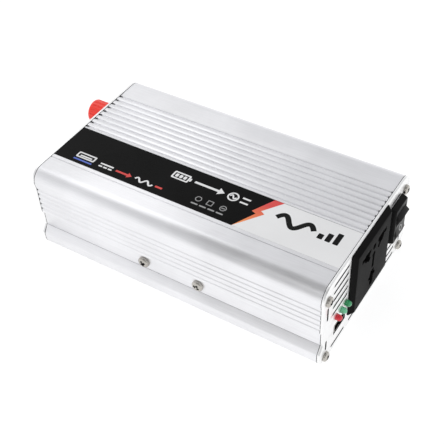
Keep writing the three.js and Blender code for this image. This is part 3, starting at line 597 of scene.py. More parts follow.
def tray_profile():
    board_ledge = box("main_board")[0].z - 0.3
    tongue_outer, tongue_inner, ledge_y = 52.9, 51.3, 47.8
    half = [*RAIL_CURVE, (RAIL_Y, RAIL_TOP - 0.8), (RAIL_Y - 0.3, RAIL_TOP), (BAND_Y + 0.2, SEAM),
            (tongue_outer, SEAM), (tongue_outer, TRAY_HIGH.z), (tongue_inner, TRAY_HIGH.z),
            (tongue_inner, SEAM - 1), (RAIL_Y - 2, board_ledge + 3), (RAIL_Y - 2, board_ledge),
            (ledge_y, board_ledge), (ledge_y, WALL)]
    return half + mirror(half)


def panel_profile():
    half = [*RAIL_CURVE, (RAIL_Y, RAIL_TOP), (BAND_Y, SEAM), (BAND_Y, BAND_TOP), (SIDE_Y, SIDE_BOTTOM),
            (SIDE_Y, SIDE_TOP), *SHOULDER_CURVE]
    return half + mirror(half)


def drilled_ends(z):
    """Pilot holes for the panel screws in both ends of an extrusion."""
    depth, past = 11, 1
    return together([prism([circle(side * PANEL_SCREW_Y, z, SCREW_HOLE, 20)], min(a, b), max(a, b))
                     for side in (-1, 1) for a, b in ((HALF_LENGTH - depth, HALF_LENGTH + past),
                                                      (depth - HALF_LENGTH, -HALF_LENGTH - past))])


def drilled_sides():
    reach = RAIL_Y + 1
    return together([prism([circle(x, SIDE_SCREW_Z, SIDE_SCREW_HOLE, 20)], -reach, reach, turn=ALONG_Y)
                     for x in SIDE_SCREWS_X])


def groove_ends():
    """Openings where each groove ends: round at the DC end, a short notch at the AC end."""
    radius, inset, notch_length, notch_width = 0.8, 1.1, 0.8, 1.8
    holes = [flat([circle(inset - HALF_LENGTH, y, radius, 16)], HEIGHT - 3, HEIGHT + 1) for y in GROOVES]
    notches = [flat([rectangle(HALF_LENGTH, y, 2 * notch_length, notch_width)], HEIGHT - 3, HEIGHT + 1)
               for y in GROOVES]
    return together(holes + notches)


def at_end(centre, normal):
    """True on the sawn ends of an extrusion, which face an end panel, and on the cover's inner faces; these
    get painted shade, since they would lie in shadow.
    """
    inner_side = abs(centre.y) < SIDE_Y - WALL + 0.05 and TRAY_HIGH.z < centre.z < CORNER
    return abs(normal.x) > 0.9 and abs(centre.x) > HALF_LENGTH - 0.05 or inner_side


def build_case():
    cover = prism([cover_profile()], -HALF_LENGTH, HALF_LENGTH, 0.12)
    cover = combined(cover, [drilled_ends(PANEL_SCREW_HEIGHTS[1]), drilled_sides(), groove_ends()])
    finished("cover_shell", cover, "case", replaces=["top_cover"], sharp=24, hollow=at_end)
    tray = prism([tray_profile()], -HALF_LENGTH, HALF_LENGTH, 0.12)
    tray = combined(tray, [drilled_ends(PANEL_SCREW_HEIGHTS[0]), drilled_sides()])
    finished("tray_shell", tray, "case", replaces=["base_tray"], sharp=24, hollow=at_end)


# ---- End panels ----

SOCKET_LOW, SOCKET_HIGH = box("socket_housing")
SOCKET_Y, SOCKET_Z = middle("socket_housing").yz
SOCKET_BODY = 40.6
SWITCH_LOW, SWITCH_HIGH = box("switch_frame")
SWITCH_Y, SWITCH_Z = middle("switch_frame").yz
SWITCH_BODY = (13.4, 24.4)
LAMPS = ("led_green_1", "led_green_2", "led_red")
USB_LOW, USB_HIGH = box("usb_shell")
USB_Y, USB_Z = middle("usb_shell").yz
HOLE_PLAY = 0.8  # how much wider than its body each panel opening is
USB_PLAY = 2


def ac_openings():
    holes = [slot(-35.4, 56.7 - 5.95 * i, 18.8, VENT_WIDTH) for i in range(5)]
    holes += [slot(37, 15.2 - 5.8 * i, 13, VENT_WIDTH) for i in range(2)]
    holes += [slot(37.2, 54.4, 12.5, VENT_WIDTH)]
    holes += [slot(y, 3.7, length, VENT_WIDTH) for y, length in ((-35.5, 17), (-12, 18), (12, 18), (36, 15))]
    holes += [slot(side * EDGE_VENT_Y, z, length, EDGE_VENT_WIDTH, True)
              for side in (-1, 1) for z, length in ((39.8, 10.8), (12.6, 8))]
    holes += [rectangle(SOCKET_Y, SOCKET_Z, SOCKET_BODY + HOLE_PLAY, SOCKET_BODY + HOLE_PLAY, 0.8)]
    holes += [rectangle(SWITCH_Y, SWITCH_Z, SWITCH_BODY[0] + HOLE_PLAY, SWITCH_BODY[1] + HOLE_PLAY, 0.8)]
    usb_size = USB_HIGH - USB_LOW
    holes += [rectangle(USB_Y, USB_Z, usb_size.y + USB_PLAY, usb_size.z + USB_PLAY, 0.6)]
    return holes + [circle(middle(lamp).y, middle(lamp).z, LAMP_RADIUS + 0.15, 40) for lamp in LAMPS]


def dc_openings():
    pitch, radius = 5, FAN_BORE - 1
    holes = []
    for i in range(-4, 5):
        holes.append(slot(FAN_Y, FAN_Z + i * pitch, 2 * math.sqrt(radius ** 2 - (i * pitch) ** 2), 2.8))
    holes += [circle(y, z, SCREW_HOLE, 24) for y, z in FAN_SCREWS]
    holes += [circle(TERMINAL_Y, z, BUSH_RADIUS + 0.3, 40) for z in TERMINAL_Z.values()]
    return holes + [slot(side * EDGE_VENT_Y, 28, 20, EDGE_VENT_WIDTH, True) for side in (-1, 1)]


def inside_panel(centre, normal):
    """True on a panel's back and on the walls of its openings, which face along the plate; these get painted
    shade so the openings look dark.
    """
    if abs(centre.x) < PANEL_INNER + 0.02:
        return True
    y, z, margin = abs(centre.y), centre.z, 1
    past_corner = math.hypot(max(y - SHOULDER_Y + SHOULDER, 0), max(z - HEIGHT + SHOULDER, 0))
    inside = y < BAND_Y - margin and margin < z < HEIGHT - margin and past_corner < SHOULDER - margin
    return inside and abs(normal.x) < 0.3


def build_panels():
    screw_holes = [circle(y, z, SCREW_HOLE, 24) for y, z in PANEL_SCREWS]
    for name, start, stop, holes in (("ac", PANEL_INNER, PANEL_OUTER, ac_openings()),
                                     ("dc", -PANEL_OUTER, -PANEL_INNER, dc_openings())):
        plate = prism([panel_profile(), *holes, *screw_holes], start, stop, 0.1)
        finished(f"{name}_panel_plate", plate, "panel", replaces=[f"{name}_end_panel"], hollow=inside_panel)


# ---- Screws ----

PANEL_SCREW = (1.4, 3.2, 2.3, 10)  # shank and head radius, head height and length below the head
SIDE_SCREW = (1.9, 3.8, 2.6, 11.6)
FAN_MOUNT_SCREW = (1.4, 2.95, 1.9, 15)
RECESS_DEPTH = 1.25


def thread(start, stop, crest, root, pitch):
    """Saw-toothed profile of a screwed rod between two places on its axis."""
    turns = int((stop - start) / pitch)
    points = []
    for i in range(turns):
        x = start + i * pitch
        points += [(x, root), (x + pitch * 0.4, crest), (x + pitch * 0.55, crest)]
    return points + [(start + turns * pitch, root)]


def pan_head_screw(shank, radius, height, length):
    """Head towards +X with its seat at the origin."""
    rim = height * 0.4
    head = [(0.05, shank - 0.1), (0.05, radius - 0.15), (0.2, radius)]
    head += [(rim + x * (height - rim), r * radius) for r, x in arc(0, 0, 1, 0, 90, 12)]
    head[-1] = (height, 0)
    body = lathe([(-length, 0), (-length + 0.8, shank - 0.4),
                  *thread(-length + 0.9, -0.5, shank, shank * 0.8, shank / 2), *head], 40)
    recess = []
    for turn in (0, 90):
        rings = [[(x, y * across, z * thick) for y, z in ((-1, -1), (1, -1), (1, 1), (-1, 1))]
                 for x, across, thick in ((height - RECESS_DEPTH, 0.34 * radius, 0.09 * radius),
                                          (height + 0.3, 0.66 * radius, 0.24 * radius))]
        recess.append(moved(loft(rings), rotation(turn, "X")))
    return combined(body, recess)


def in_recess(radius, height):
    """A test that is true on the walls and floor of a screw head's cross recess, which get painted shade."""
    floor = height - RECESS_DEPTH

    def hollow(centre, normal):
        inward = math.hypot(centre.y, centre.z) < 0.68 * radius
        return inward and floor - 0.1 < centre.x and (normal.x < 0.6 or centre.x < floor + 0.1)
    return hollow


def build_screws():
    panel, side_wall, fan = [
        dict(mesh=pan_head_screw(*sizes), look="nickel", hollow=in_recess(*sizes[1:3]))
        for sizes in (PANEL_SCREW, SIDE_SCREW, FAN_MOUNT_SCREW)]
    places = []  # kind, node, seat, direction of the head about Z and turn of its recess
    for end, facing, label in ((1, 0, "ac"), (-1, 180, "dc")):
        for i, (y, z) in enumerate(PANEL_SCREWS):
            node = f"{label}_panel_screw_{('lower', 'upper')[i // 2]}_{('near', 'far')[i % 2]}"
            places.append((panel, node, at(end * PANEL_OUTER, y, z), facing, 18 + 31 * i))
    for side_name, side in SIDES.items():
        for i, x in enumerate(SIDE_SCREWS_X):
            places.append((side_wall, f"side_screw_{side_name}_{i + 1}", at(x, side * BAND_Y, SIDE_SCREW_Z),
                           90 * side, 25 + 40 * i))
    for i, (y, z) in enumerate(FAN_SCREWS):
        places.append((fan, f"fan_screw_{i + 1}", at(-PANEL_OUTER, y, z), 180, 12 + 37 * i))
    for kind, node, seat, facing, turn in places:
        finished(f"{node}_pan_head", **kind, place=seat @ rotation(facing, "Z") @ rotation(turn, "X"),
                 replaces=[node])


# ---- Mains socket ----

def flange(y, z, width, height, start, stop, inset, corner, edge):
    """A bezel whose sides slope in to a flat front with a rounded rim."""
    rings = []
    lift = stop - start
    stations = [(0, 0), (0.5, 0)]
    stations += [(lift - edge * (1 - math.sin(t)), inset - edge * 0.9 + edge * 0.9 * (1 - math.cos(t)))
                 for t in (math.pi / 2 * i / 4 for i in range(5))]
    for rise, draw in stations:
        ring = rectangle(y, z, width - 2 * draw, height - 2 * draw, max(corner - draw * 0.2, 0.3), 5)
        rings.append([(start + rise, a, b) for a, b in ring])
    return loft(rings)


PIN_Y, PIN_Z, EARTH_Z = 9.6, 48.6, 23.5
PIN_RADIUS = 3.5


def blade(y, z, length, width, degrees):
    return turned_outline(rectangle(0, 0, length, width, 0.3, 2), degrees, y, z)


def pin_openings():
    """Outlines of the universal face: two line pins, a middle slot and the earth pin."""
    y = SOCKET_Y
    loops = [circle(y, 49.4, 2.1), circle(y, 43, 2.1), blade(y, 36.7, 9, 2.8, 90)]
    for side in (-1, 1):
        loops += [circle(y + side * PIN_Y, PIN_Z, PIN_RADIUS),
                  blade(y + side * (PIN_Y + 1), PIN_Z + 1.5, 11.6, 3, 0),
                  blade(y + side * (PIN_Y - 0.4), PIN_Z - 1.2, 10.4, 3, side * 50)]
    return loops + [circle(y, EARTH_Z + 1.6, PIN_RADIUS), blade(y, EARTH_Z, 12.8, 4.6, 90),
                    blade(y, EARTH_Z + 1.2, 8.8, 2.8, 0)]


def build_socket():
    start, front, back = PANEL_OUTER + 0.1, SOCKET_HIGH.x, SOCKET_LOW.x
    cell_front = front - 3.2
    size = SOCKET_HIGH - SOCKET_LOW
    plate = flange(SOCKET_Y, SOCKET_Z, size.y, size.z, start, front, 2.4, 1.2, 0.5)
    body = beam(back, start + 0.9, SOCKET_Y, SOCKET_Z, SOCKET_BODY, SOCKET_BODY, 0.5)
    housing = combined(plate, [body], "UNION")
    cutters = [prism([loop], cell_front - 1, front + 1) for loop in pin_openings()]
    cells = [(box(f"{name}_contact"), 0.4) for name in ("live", "neutral", "earth")]
    cutters += [block((back - 1, low.y - play, low.z - play), (cell_front, high.y + play, high.z + play), 0.1)
                for (low, high), play in cells]
    cutters.append(beam(back - 1, cell_front, SOCKET_Y, 42, 4.8, 20, 0.1))
    housing = combined(housing, cutters)
    finished("socket_moulding", housing, "socket", replaces=["socket_housing"])
    for name in ("live", "neutral", "earth"):
        dress(f"{name}_contact", "brass", 0.1)


# ---- Rocker switch ----

PADDLE_WIDTH = 12.4
PADDLE_REACH, PADDLE_HALF = 6.5, 7.4
PADDLE_TILT = 6
PIVOT_X, PIVOT_Z = 100.9, 37.3
DISH = 1.8


def dish_x(z):
    """How far the dished face of the paddle stands from the pivot at a height along it."""
    softness = 0.3
    rise = lambda share: math.hypot(share, softness) - softness
    return PADDLE_REACH - DISH * (1 - rise(z / PADDLE_HALF) / rise(1))


def on_dish(z):
    """Place on the dished face, its X axis square to the surface."""
    slope = (dish_x(z + 0.1) - dish_x(z - 0.1)) / 0.2
    return at(dish_x(z), 0, z) @ Matrix.Rotation(math.atan(slope), 4, "Y")


def paddle_profile():
    corner = math.hypot(PADDLE_REACH, PADDLE_HALF)
    angle = math.degrees(math.atan2(PADDLE_HALF, PADDLE_REACH))
    upper = arc(0, 0, corner, angle, 78, 8)
    lower = [(x, -z) for x, z in reversed(upper)]
    steps = 20
    heights = [-PADDLE_HALF + 2 * PADDLE_HALF * i / steps for i in range(1, steps)]
    face = [(dish_x(z), z) for z in heights]
    return [(1.2, -4), *lower, *face, *upper, (1.2, 4), (-4.5, 2.2), (-4.5, -2.2)]


def build_switch():
    start, front = PANEL_OUTER + 0.1, SWITCH_HIGH.x
    size = SWITCH_HIGH - SWITCH_LOW
    rim = flange(SWITCH_Y, SWITCH_Z, size.y, size.z, start, front, 1.3, 1.4, 0.6)
    shell = beam(SWITCH_LOW.x, start + 0.9, SWITCH_Y, SWITCH_Z, *SWITCH_BODY, 0.4)
    bezel = combined(rim, [shell], "UNION")
    play, pocket_height = 0.4, 21
    pocket = beam(PIVOT_X - 9.5, front + 2, SWITCH_Y, PIVOT_Z, PADDLE_WIDTH + 2 * play, pocket_height, 0.3)
    finished("switch_bezel", combined(bezel, [pocket]), "bezel", replaces=["switch_frame"])

    tilted = at(PIVOT_X, SWITCH_Y, PIVOT_Z) @ rotation(PADDLE_TILT, "Y")
    half = PADDLE_WIDTH / 2
    paddle = prism([paddle_profile()], -half, half, 0.35, ALONG_Y)
    finished("switch_rocker", paddle, "rocker", "switch_paddle", ["switch_paddle"], place=tilted)
    proud, sunk = 0.12, 0.4
    line = block((-sunk, -0.5, -2.1), (proud, 0.5, 2.1), 0.1)
    finished("switch_mark_on", line, "mark", "switch_paddle", place=tilted @ on_dish(4.3))
    inner, outer = 1.25, 2.05
    ring = lathe(softened([(-sunk, inner), (-sunk, outer), (proud, outer), (proud, inner)], 0.1, 2), 40)
    finished("switch_mark_off", ring, "mark", "switch_paddle", place=tilted @ on_dish(-4.1))


# ---- Lamps and USB port ----

def build_lamps():
    for node, look in zip(LAMPS, ("green_1", "green_2", "red_lamp")):
        low, high = box(node)
        centre = middle(node)
        radius, rim, rim_length = LAMP_RADIUS, 2.4, 1
        rim_x = 96.4
        tip = high.x
        dome = [(tip - radius + x, r) for r, x in arc(0, 0, radius, 0, 90, 12)]
        dome[-1] = (tip, 0)
        bulb = lathe([(rim_x, 0), (rim_x, rim - 0.1), (rim_x + 0.1, rim), (rim_x + rim_length - 0.1, rim),
                      (rim_x + rim_length, rim - 0.1), (rim_x + rim_length, radius), *dome], 48)
        finished(f"{node}_bulb", moved(bulb, at(0, centre.y, centre.z)), look, replaces=[node])
        leg_y, leg_width = 1.27, 0.5
        legs = [beam(low.x, rim_x + 0.05, centre.y + side * leg_y, centre.z, leg_width, leg_width, 0.05)
                for side in (-1, 1)]
        finished(f"{node}_legs", together(legs), "nickel")


def build_usb():
    wall = 0.5
    size = USB_HIGH - USB_LOW
    outer = rectangle(USB_Y, USB_Z, size.y, size.z, 0.7)
    inner = rectangle(USB_Y, USB_Z, size.y - 2 * wall, size.z - 2 * wall, 0.4)
    shell = prism([outer], USB_LOW.x, USB_HIGH.x, 0.1)
    latches = [beam(USB_HIGH.x - 6.5, USB_HIGH.x - 4, USB_Y + side * 2.7, USB_Z, 1.8, 2 * size.z)
               for side in (-1, 1)]
    shell = combined(shell, [prism([inner], USB_LOW.x + 1, USB_HIGH.x + 1), together(latches)])

    # Painted shade inside the port: its inner walls and floor get the near-black shade colour.
    def in_port(centre, normal):
        return (abs(centre.y - USB_Y) < (size.y - wall) / 2 and abs(centre.z - USB_Z) < (size.z - wall) / 2
                and centre.x < USB_HIGH.x - 0.05)

    finished("usb_socket_shell", shell, "nickel", replaces=["usb_shell"], hollow=in_port)
    dress("usb_tongue", "white_plastic", 0.2)
    low, high = box("usb_tongue")
    pins = [block((low.x + 2, USB_Y + offset - 0.5, low.z - 0.12),
                  (high.x - 0.6, USB_Y + offset + 0.5, low.z + 0.1), 0.05) for offset in (-3.5, -1, 1, 3.5)]
    finished("usb_contacts", together(pins), "gold")
    dress("front_board", "board")


# ---- Label ----

INK = 0.03  # thickness of one printed layer
LABEL_LOW, LABEL_HIGH = box("label_sticker")
FILM_TOP = LABEL_HIGH.z - 2 * INK
NEAR, FAR = LABEL_LOW.y, LABEL_HIGH.y
FLASH_FAR = (43.0, 49.2)  # where the flash meets the far edge of the film
FLASH_NEAR = 31.2  # its point on the near edge
FLASH_STEP = ((35.5, -19.9), (38.6, -21.0), (40.4, -17.6), (43.4, -19.2))


def wave(x, y, length, height, turns, width, steps=24):
    """A sine wave drawn as a line of even width."""
    count = int(steps * turns)
    path = [(x + length * i / count, y + height / 2 * math.sin(2 * math.pi * turns * i / count))
            for i in range(count + 1)]
    return ribbon(path, width)


def bar(x, y, length, width):
    return rectangle(x + length / 2, y, length, width, width * 0.25, 2)


def arrow(x, y, length, width, head):
    """A level arrow that points to +X."""
    w, tip = width / 2, x + length
    return [(x, y - w), (tip - head, y - w), (tip - head, y - head * 0.7), (tip, y),
            (tip - head, y + head * 0.7), (tip - head, y + w), (x, y + w)]


def ring_loops(x, y, radius, width):
    return [circle(x, y, radius, 40), circle(x, y, radius - width, 40)]


def title_loops():
    """A battery, an arrow and a wave in a ring: direct current in, alternating current out."""
    x, y = -23, -15
    battery = [rectangle(x + 6, y, 12, 6.4, 0.9), rectangle(x + 6, y, 9.8, 4.2, 0.3),
               bar(x + 12.1, y, 1.3, 3)]
    cells = [bar(x + 2 + 2.9 * i, y, 2.1, 2.9) for i in range(3)]
    sign = [*ring_loops(x + 43, y, 3.7, 1.0), wave(x + 40.8, y, 4.4, 2.6, 1, 1.0)]
    bars = [bar(x + 48.5, y + offset, 5.5, 1.3) for offset in (-1.9, 1.9)]
    return [*battery, *cells, arrow(x + 16, y, 21, 1.7, 4.2), *sign, *bars]


def supply_loops(x, y):
    """The sign for direct current: a line over a broken line."""
    return [bar(x, y + 1.2, 10, 1.2), *[bar(x + 3.6 * i, y - 1.2, 2.8, 1.2) for i in range(3)]]


def small_sign_loops():
    """A ring, a square and a ringed bar over a row of short bars."""
    square = [rectangle(11, -26.6, size, size, 0.2) for size in (4.0, 3.0)]
    ringed = [*ring_loops(20, -26.6, 2.2, 0.5), bar(18.7, -26.6, 2.6, 0.6)]
    row = [bar(0.5 + 5.8 * i, -31.2, 4.6, 1.0) for i in range(4)]
    return [*ring_loops(3, -26.6, 2.1, 0.5), *square, *ringed, *row]


def build_label():
    silver = flat([[(LABEL_LOW.x, NEAR), (LABEL_HIGH.x, NEAR), (LABEL_HIGH.x, FAR), (LABEL_LOW.x, FAR)]],
                  LABEL_LOW.z, FILM_TOP)
    finished("label_film", silver, "silver_film", replaces=["label_sticker"])
    notch, tooth, inner_step, outer_step = FLASH_STEP
    areas = {
        "label_black_print": ([[(LABEL_LOW.x, NEAR), (FLASH_NEAR, NEAR), tooth, notch, (FLASH_FAR[0], FAR),
                                (LABEL_LOW.x, FAR)]], "black_film", 0),
        "label_flash": ([[(FLASH_NEAR, NEAR), outer_step, inner_step, (FLASH_FAR[1], FAR),
                          (FLASH_FAR[0], FAR), notch, tooth]], "flash", 0),
        "label_title_sign": (title_loops(), "white_ink", 1),
        "label_supply_sign": (supply_loops(-68, -30), "white_ink", 1),
        "label_arrow_red": ([arrow(-55.5, -30, 12, 1.5, 3.2)], "red_ink", 1),
        "label_output_sign": ([wave(-41, -30, 13, 3.0, 2, 1.2)], "white_ink", 1),
        "label_output_bar": ([bar(-26, -30, 5, 1.5)], "red_ink", 1),
        "label_port_sign": ([rectangle(-79.5, -28.4, 14, 5, 0.8), rectangle(-79.5, -28.4, 11.8, 2.8, 0.3),
                             bar(-84, -28.8, 9, 1.2)], "white_ink", 1),
        "label_port_bar": ([bar(-86.5, -32.8, 14, 1.2)], "blue_ink", 1),
        "label_small_signs": (small_sign_loops(), "grey_ink", 1),
        "label_power_wave": ([wave(50.5, -17.4, 24, 7.6, 1.5, 3.3)], "dark_ink", 0),
        "label_power_bars": ([rectangle(79.5 + 4.9 * i, -21.2 + height / 2, 3.3, height, 0.4, 2)
                              for i, height in enumerate((4.2, 6.8, 9.4))], "dark_ink", 0),
    }
    for name, (loops, look, layer) in areas.items():
        low = FILM_TOP + INK * layer
        finished(name, flat(loops, low, low + INK), look)


# ---- Terminals ----

FLUTES = 16
STUD_BORE = 3.35  # radius of the holes the stud passes
COLLAR_RADIUS = 10
WASHER_RADIUS = 6.4


def terminal_knob(low, high):
    """Fluted round its side, with a domed front towards -X and a blind hole for the stud."""
    radius, depth = 8.2, 0.55
    outside = [(low, 0), (low, 3.2), (low + 0.25, 3.5), (low + 0.25, 6.2), (low, 6.5),
               (low + 0.35, radius - 0.8), (low + 0.9, radius - 0.25),
               *[(x, radius) for x in (low + 1.6, low + 2.6, low + 3.2, high - 3, high - 2, high - 1)],
               (high - 0.3, radius - 0.15), (high, radius - 0.6)]
    inside = [(high, 3.6), (high - 0.3, STUD_BORE), (low + 2.2, STUD_BORE), (low + 2.2, 0)]
    fluted = {i for i, (x, _) in enumerate(outside) if low + 3 < x < high + 0.1}

    def radius_at(r, angle, index):
        if index not in fluted:
            return r
        return r - depth * max(0.0, math.cos(FLUTES * angle)) ** 2

    return lathe(outside + inside, FLUTES * 10, radius_at)


def build_terminals():
    for name in ("red", "black"):
        place = at(0, TERMINAL_Y, TERMINAL_Z[name])
        plastic = f"{name}_knob"
        low, high = box(f"{name}_terminal_knob")
        finished(f"{name}_knob_fluted", terminal_knob(low.x, high.x), plastic, f"{name}_knob",
                 [f"{name}_terminal_knob"], place=place, sharp=40)
        low, high = box(f"{name}_terminal_washer")
        ring = softened([(low.x, STUD_BORE), (low.x, WASHER_RADIUS), (high.x, WASHER_RADIUS),
                         (high.x, STUD_BORE)], 0.2, 3)
        finished(f"{name}_washer_ring", lathe(ring, 64), "nickel", f"{name}_washer",
                 [f"{name}_terminal_washer"], place=place)
        low, high = box(f"{name}_terminal_collar")
        seat = -PANEL_OUTER - 0.1
        collar = [(low.x, STUD_BORE), (low.x, COLLAR_RADIUS - 0.8), (low.x + 0.8, COLLAR_RADIUS),
                  (seat, COLLAR_RADIUS), (seat, BUSH_RADIUS), (high.x, BUSH_RADIUS), (high.x, STUD_BORE)]
        finished(f"{name}_collar_bush", lathe(softened(collar, 0.35, 4), 72), plastic,
                 replaces=[f"{name}_terminal_collar"], place=place)
        low, high = box(f"{name}_terminal_stud")
        foot = high.x - 4
        rod = lathe([(low.x, 0), (low.x, 2.3), *thread(low.x + 0.3, -104, 3, 2.55, 1.0), (-103.6, 2.9),
                     (foot + 1, 2.9), (foot + 1, 0)], 40)
        stud = combined(rod, [beam(foot, high.x, 0, 0, 10, 10, 0.4)], "UNION")
        finished(f"{name}_stud_thread", stud, "brass", replaces=[f"{name}_terminal_stud"], place=place)
        dress(f"{name}_bus_strap", "copper", 0.2)


# ---- Cooling fan ----

BLADES = 7
FAN_AXIS = at(0, FAN_Y, FAN_Z)


def fan_blade(front, back, root, tip):
    """A cambered, twisted blade of even thickness, pointing up from the rotor's axis."""
    across, up = 8, 8
    thickness = 0.9
    middle_x = (front + back) / 2
    sheets = ([], [])
    for k in range(up + 1):
        share = k / up
        radius = root + (tip - root) * share
        pitch = math.radians(48 - 12 * share)
        widest_pitch = pitch if share < 0.5 else math.radians(42)
        chord = (back - front - 0.6) / math.sin(widest_pitch) * 0.96
        for i in range(across + 1):
            s = i / across - 0.5
            bow = 0.9 * (1 - 4 * s * s)
            for sheet, side in zip(sheets, (-0.5, 0.5)):
                lift = bow + side * thickness
                x = middle_x + s * chord * math.sin(pitch) - lift * math.cos(pitch)
                y = s * chord * math.cos(pitch) + lift * math.sin(pitch)
                sheet.append((x, y, radius))
    count = (across + 1) * (up + 1)
    grid = lambda i, k: k * (across + 1) + i
    faces = []
    for offset in (0, count):
        faces += [[offset + grid(i + di, k + dk) for di, dk in ((0, 0), (1, 0), (1, 1), (0, 1))]
                  for k in range(up) for i in range(across)]
    rim = [grid(i, 0) for i in range(across + 1)] + [grid(across, k) for k in range(1, up + 1)]
    rim += [grid(i, up) for i in range(across - 1, -1, -1)] + [grid(0, k) for k in range(up - 1, 0, -1)]
    faces += [[a, b, b + count, a + count] for a, b in zip(rim, rim[1:] + rim[:1])]
    return mesh_from(sheets[0] + sheets[1], faces)


def build_fan():
    low, high = box("fan_frame")
    outline = rectangle(FAN_Y, FAN_Z, high.y - low.y, high.z - low.z, 3, 8)
    holes = [circle(FAN_Y, FAN_Z, FAN_BORE, 96)]
    holes += [circle(y, z, SCREW_HOLE + 0.2, 24) for y, z in FAN_SCREWS]
    housing = prism([outline, *holes], low.x, high.x, 0.3)
    plate, hub = 1.6, 12.5
    rim = softened([(high.x - plate, hub), (high.x, hub)], 0.3, 2, closed=False)
    motor = moved(lathe([(high.x - plate, 0), *rim, (high.x, 0)], 64), FAN_AXIS)
    struts = [moved(block((high.x - plate, -1.3, hub - 2), (high.x, 1.3, FAN_BORE + 2), 0.25),
                    FAN_AXIS @ rotation(45 + 90 * i, "X")) for i in range(4)]
    housing = combined(housing, [motor, *struts], "UNION")
    finished("fan_housing", housing, "fan", replaces=["fan_frame"])

    low, high = box("fan_rotor")
    hub_radius = 11.3
    hub_profile = [(low.x, 0), (low.x, 3.2), (low.x + 0.35, 3.6), (low.x + 0.35, 8.6), (low.x, 9.1),
                   *[(low.x + 1.4 - 1.4 * math.cos(t), hub_radius - 1.4 + 1.4 * math.sin(t))
                     for t in (math.pi / 2 * i / 5 for i in range(6))], (high.x, hub_radius), (high.x, 0)]
    blades = [moved(fan_blade(low.x, high.x, hub_radius - 0.8, 22.5),
                    Matrix.Rotation(2 * math.pi * i / BLADES, 4, "X")) for i in range(BLADES)]
    rotor = combined(lathe(hub_profile, 84), blades, "UNION")
    finished("fan_blades", rotor, "fan", "fan_rotor", ["fan_rotor"], place=FAN_AXIS)


# ---- Inside ----

INSIDE = {
    "board": ["main_board"],
    "film": ["insulating_sheet"],
    "ferrite": ["transformer_core_1", "transformer_core_2"],
    "winding": ["transformer_winding_1", "transformer_winding_2"],
    "sleeve": ["input_capacitor_1", "input_capacitor_2", "output_capacitor"],
    "mould": [f"transistor_{side}_{i}" for side in SIDES for i in (1, 2)],
    "clamp": [f"clamp_bar_{side}" for side in SIDES],
}


def dress_inside():
    for look, nodes in INSIDE.items():
        for node in nodes:
            dress(node, look, 0.1 if look == "film" else 0.25)


# ---- Stage, light and camera ----

def glowing(name, colour, strength, diffuse=(0.9, 0.9, 0.9)):
    """A matt surface that also gives light of its own."""
    made, _, shader = new_material(name)
    fill(shader, Base_Color=(*diffuse, 1), Roughness=0.9, Specular_IOR_Level=0.0,
         Emission_Color=(*colour, 1), Emission_Strength=strength)
    return made


def add_floor():
    reach = 9.0
    mesh = mesh_from([(-reach, -reach, 0), (reach, -reach, 0), (reach, reach, 0), (-reach, reach, 0)],
                     [(0, 1, 2, 3)])
    mesh.transform(at(0, 0, -0.0004))
    mesh.materials.append(glowing("floor_pale", (1, 1, 1), 0.78, (0.36, 0.36, 0.36)))
    linked("floor", mesh)


def add_card(name, corner, across, upright, level):
    """A card out of the camera's sight that bright metal reflects."""
    c, a, u = Vector(corner), Vector(across), Vector(upright)
    mesh = mesh_from([c, c + a, c + a + u, c + u], [(0, 1, 2, 3)])
    mesh.materials.append(glowing(name, grey(1), level, grey(0.02)))
    card = linked(name, mesh)
    card.visible_camera = False
    card.visible_diffuse = False
    card.visible_shadow = False


def add_light(name, place, target, size, watts):
    lamp = bpy.data.lights.new(name, "AREA")
    lamp.shape = "RECTANGLE"
    lamp.size, lamp.size_y = size
    lamp.energy = watts
    obj = linked(name, lamp)
    obj.location = place
    obj.rotation_mode = "QUATERNION"
    obj.rotation_quaternion = (Vector(target) - Vector(place)).to_track_quat("-Z", "Y")
    obj.visible_camera = False


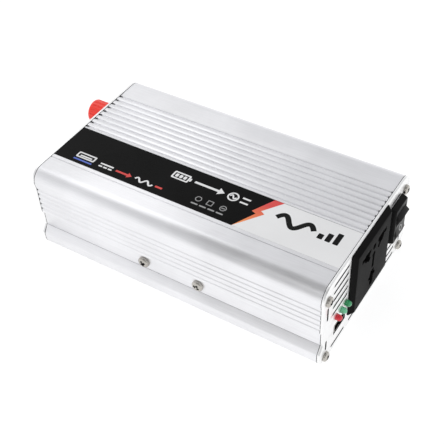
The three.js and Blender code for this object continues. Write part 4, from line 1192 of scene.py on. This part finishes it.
def add_world():
    """White at the horizon, a little darker overhead."""
    world = bpy.data.worlds.new("studio")
    world.use_nodes = True
    tree = world.node_tree
    split = add(tree, "ShaderNodeSeparateXYZ")
    tree.links.new(add(tree, "ShaderNodeTexCoord").outputs["Generated"], split.inputs["Vector"])
    strength = spread(tree, split.outputs["Z"], 1.0, 0.74, 0.12, 0.5)
    background = tree.nodes["Background"]
    tree.links.new(strength, background.inputs["Strength"])
    fill(background, Color=(0.98, 0.985, 1.0, 1))
    bpy.context.scene.world = world


def add_studio():
    add_world()
    add_light("key", (-0.9, 0.3, 1.3), (0, 0, 0), (1.0, 1.0), 3)
    add_light("fill", (0.3, -1.3, 0.9), (0, 0, 0.02), (1.2, 0.8), 2)
    add_card("softbox_back", (-2.2, 1.0, 0.5), (1.5, 0, 0), (0, 0, 1.2), 0.86)
    add_card("ceiling_right", (-0.55, -1.3, 1.2), (1.75, 0, 0), (0, 1.5, 0), 0.3)
    add_card("flag_front", (-0.5, -1.3, 0.42), (1.8, 0, 0), (0, 0, 0.75), 0.38)
    add_card("flag_low", (-0.5, -1.3, 0.04), (1.8, 0, 0), (0, 0, 0.38), 0.62)


CAMERA_AZIMUTH, CAMERA_ELEVATION, CAMERA_ROLL = 33.99, 44.205, -3.19
CAMERA_PLACE = (0.22485, -0.3323, 0.40899)
CAMERA_LENS = 70.37


def add_camera():
    data = bpy.data.cameras.new("camera")
    data.lens = CAMERA_LENS
    data.clip_start, data.clip_end = 0.01, 20
    camera = linked("camera", data)
    a, e = math.radians(CAMERA_AZIMUTH), math.radians(CAMERA_ELEVATION)
    back = Vector((math.sin(a) * math.cos(e), -math.cos(a) * math.cos(e), math.sin(e)))
    right = Vector((math.cos(a), math.sin(a), 0))
    facing = Matrix((right, back.cross(right), back)).transposed()
    roll = Matrix.Rotation(math.radians(CAMERA_ROLL), 3, back)
    camera.matrix_world = Matrix.Translation(CAMERA_PLACE) @ (roll @ facing).to_4x4()
    bpy.context.scene.camera = camera
    bpy.context.scene.view_settings.view_transform = "Standard"


add_camera()
add_floor()
add_studio()
build_case()
build_panels()
build_screws()
build_socket()
build_switch()
build_lamps()
build_usb()
build_label()
build_terminals()
build_fan()
dress_inside()
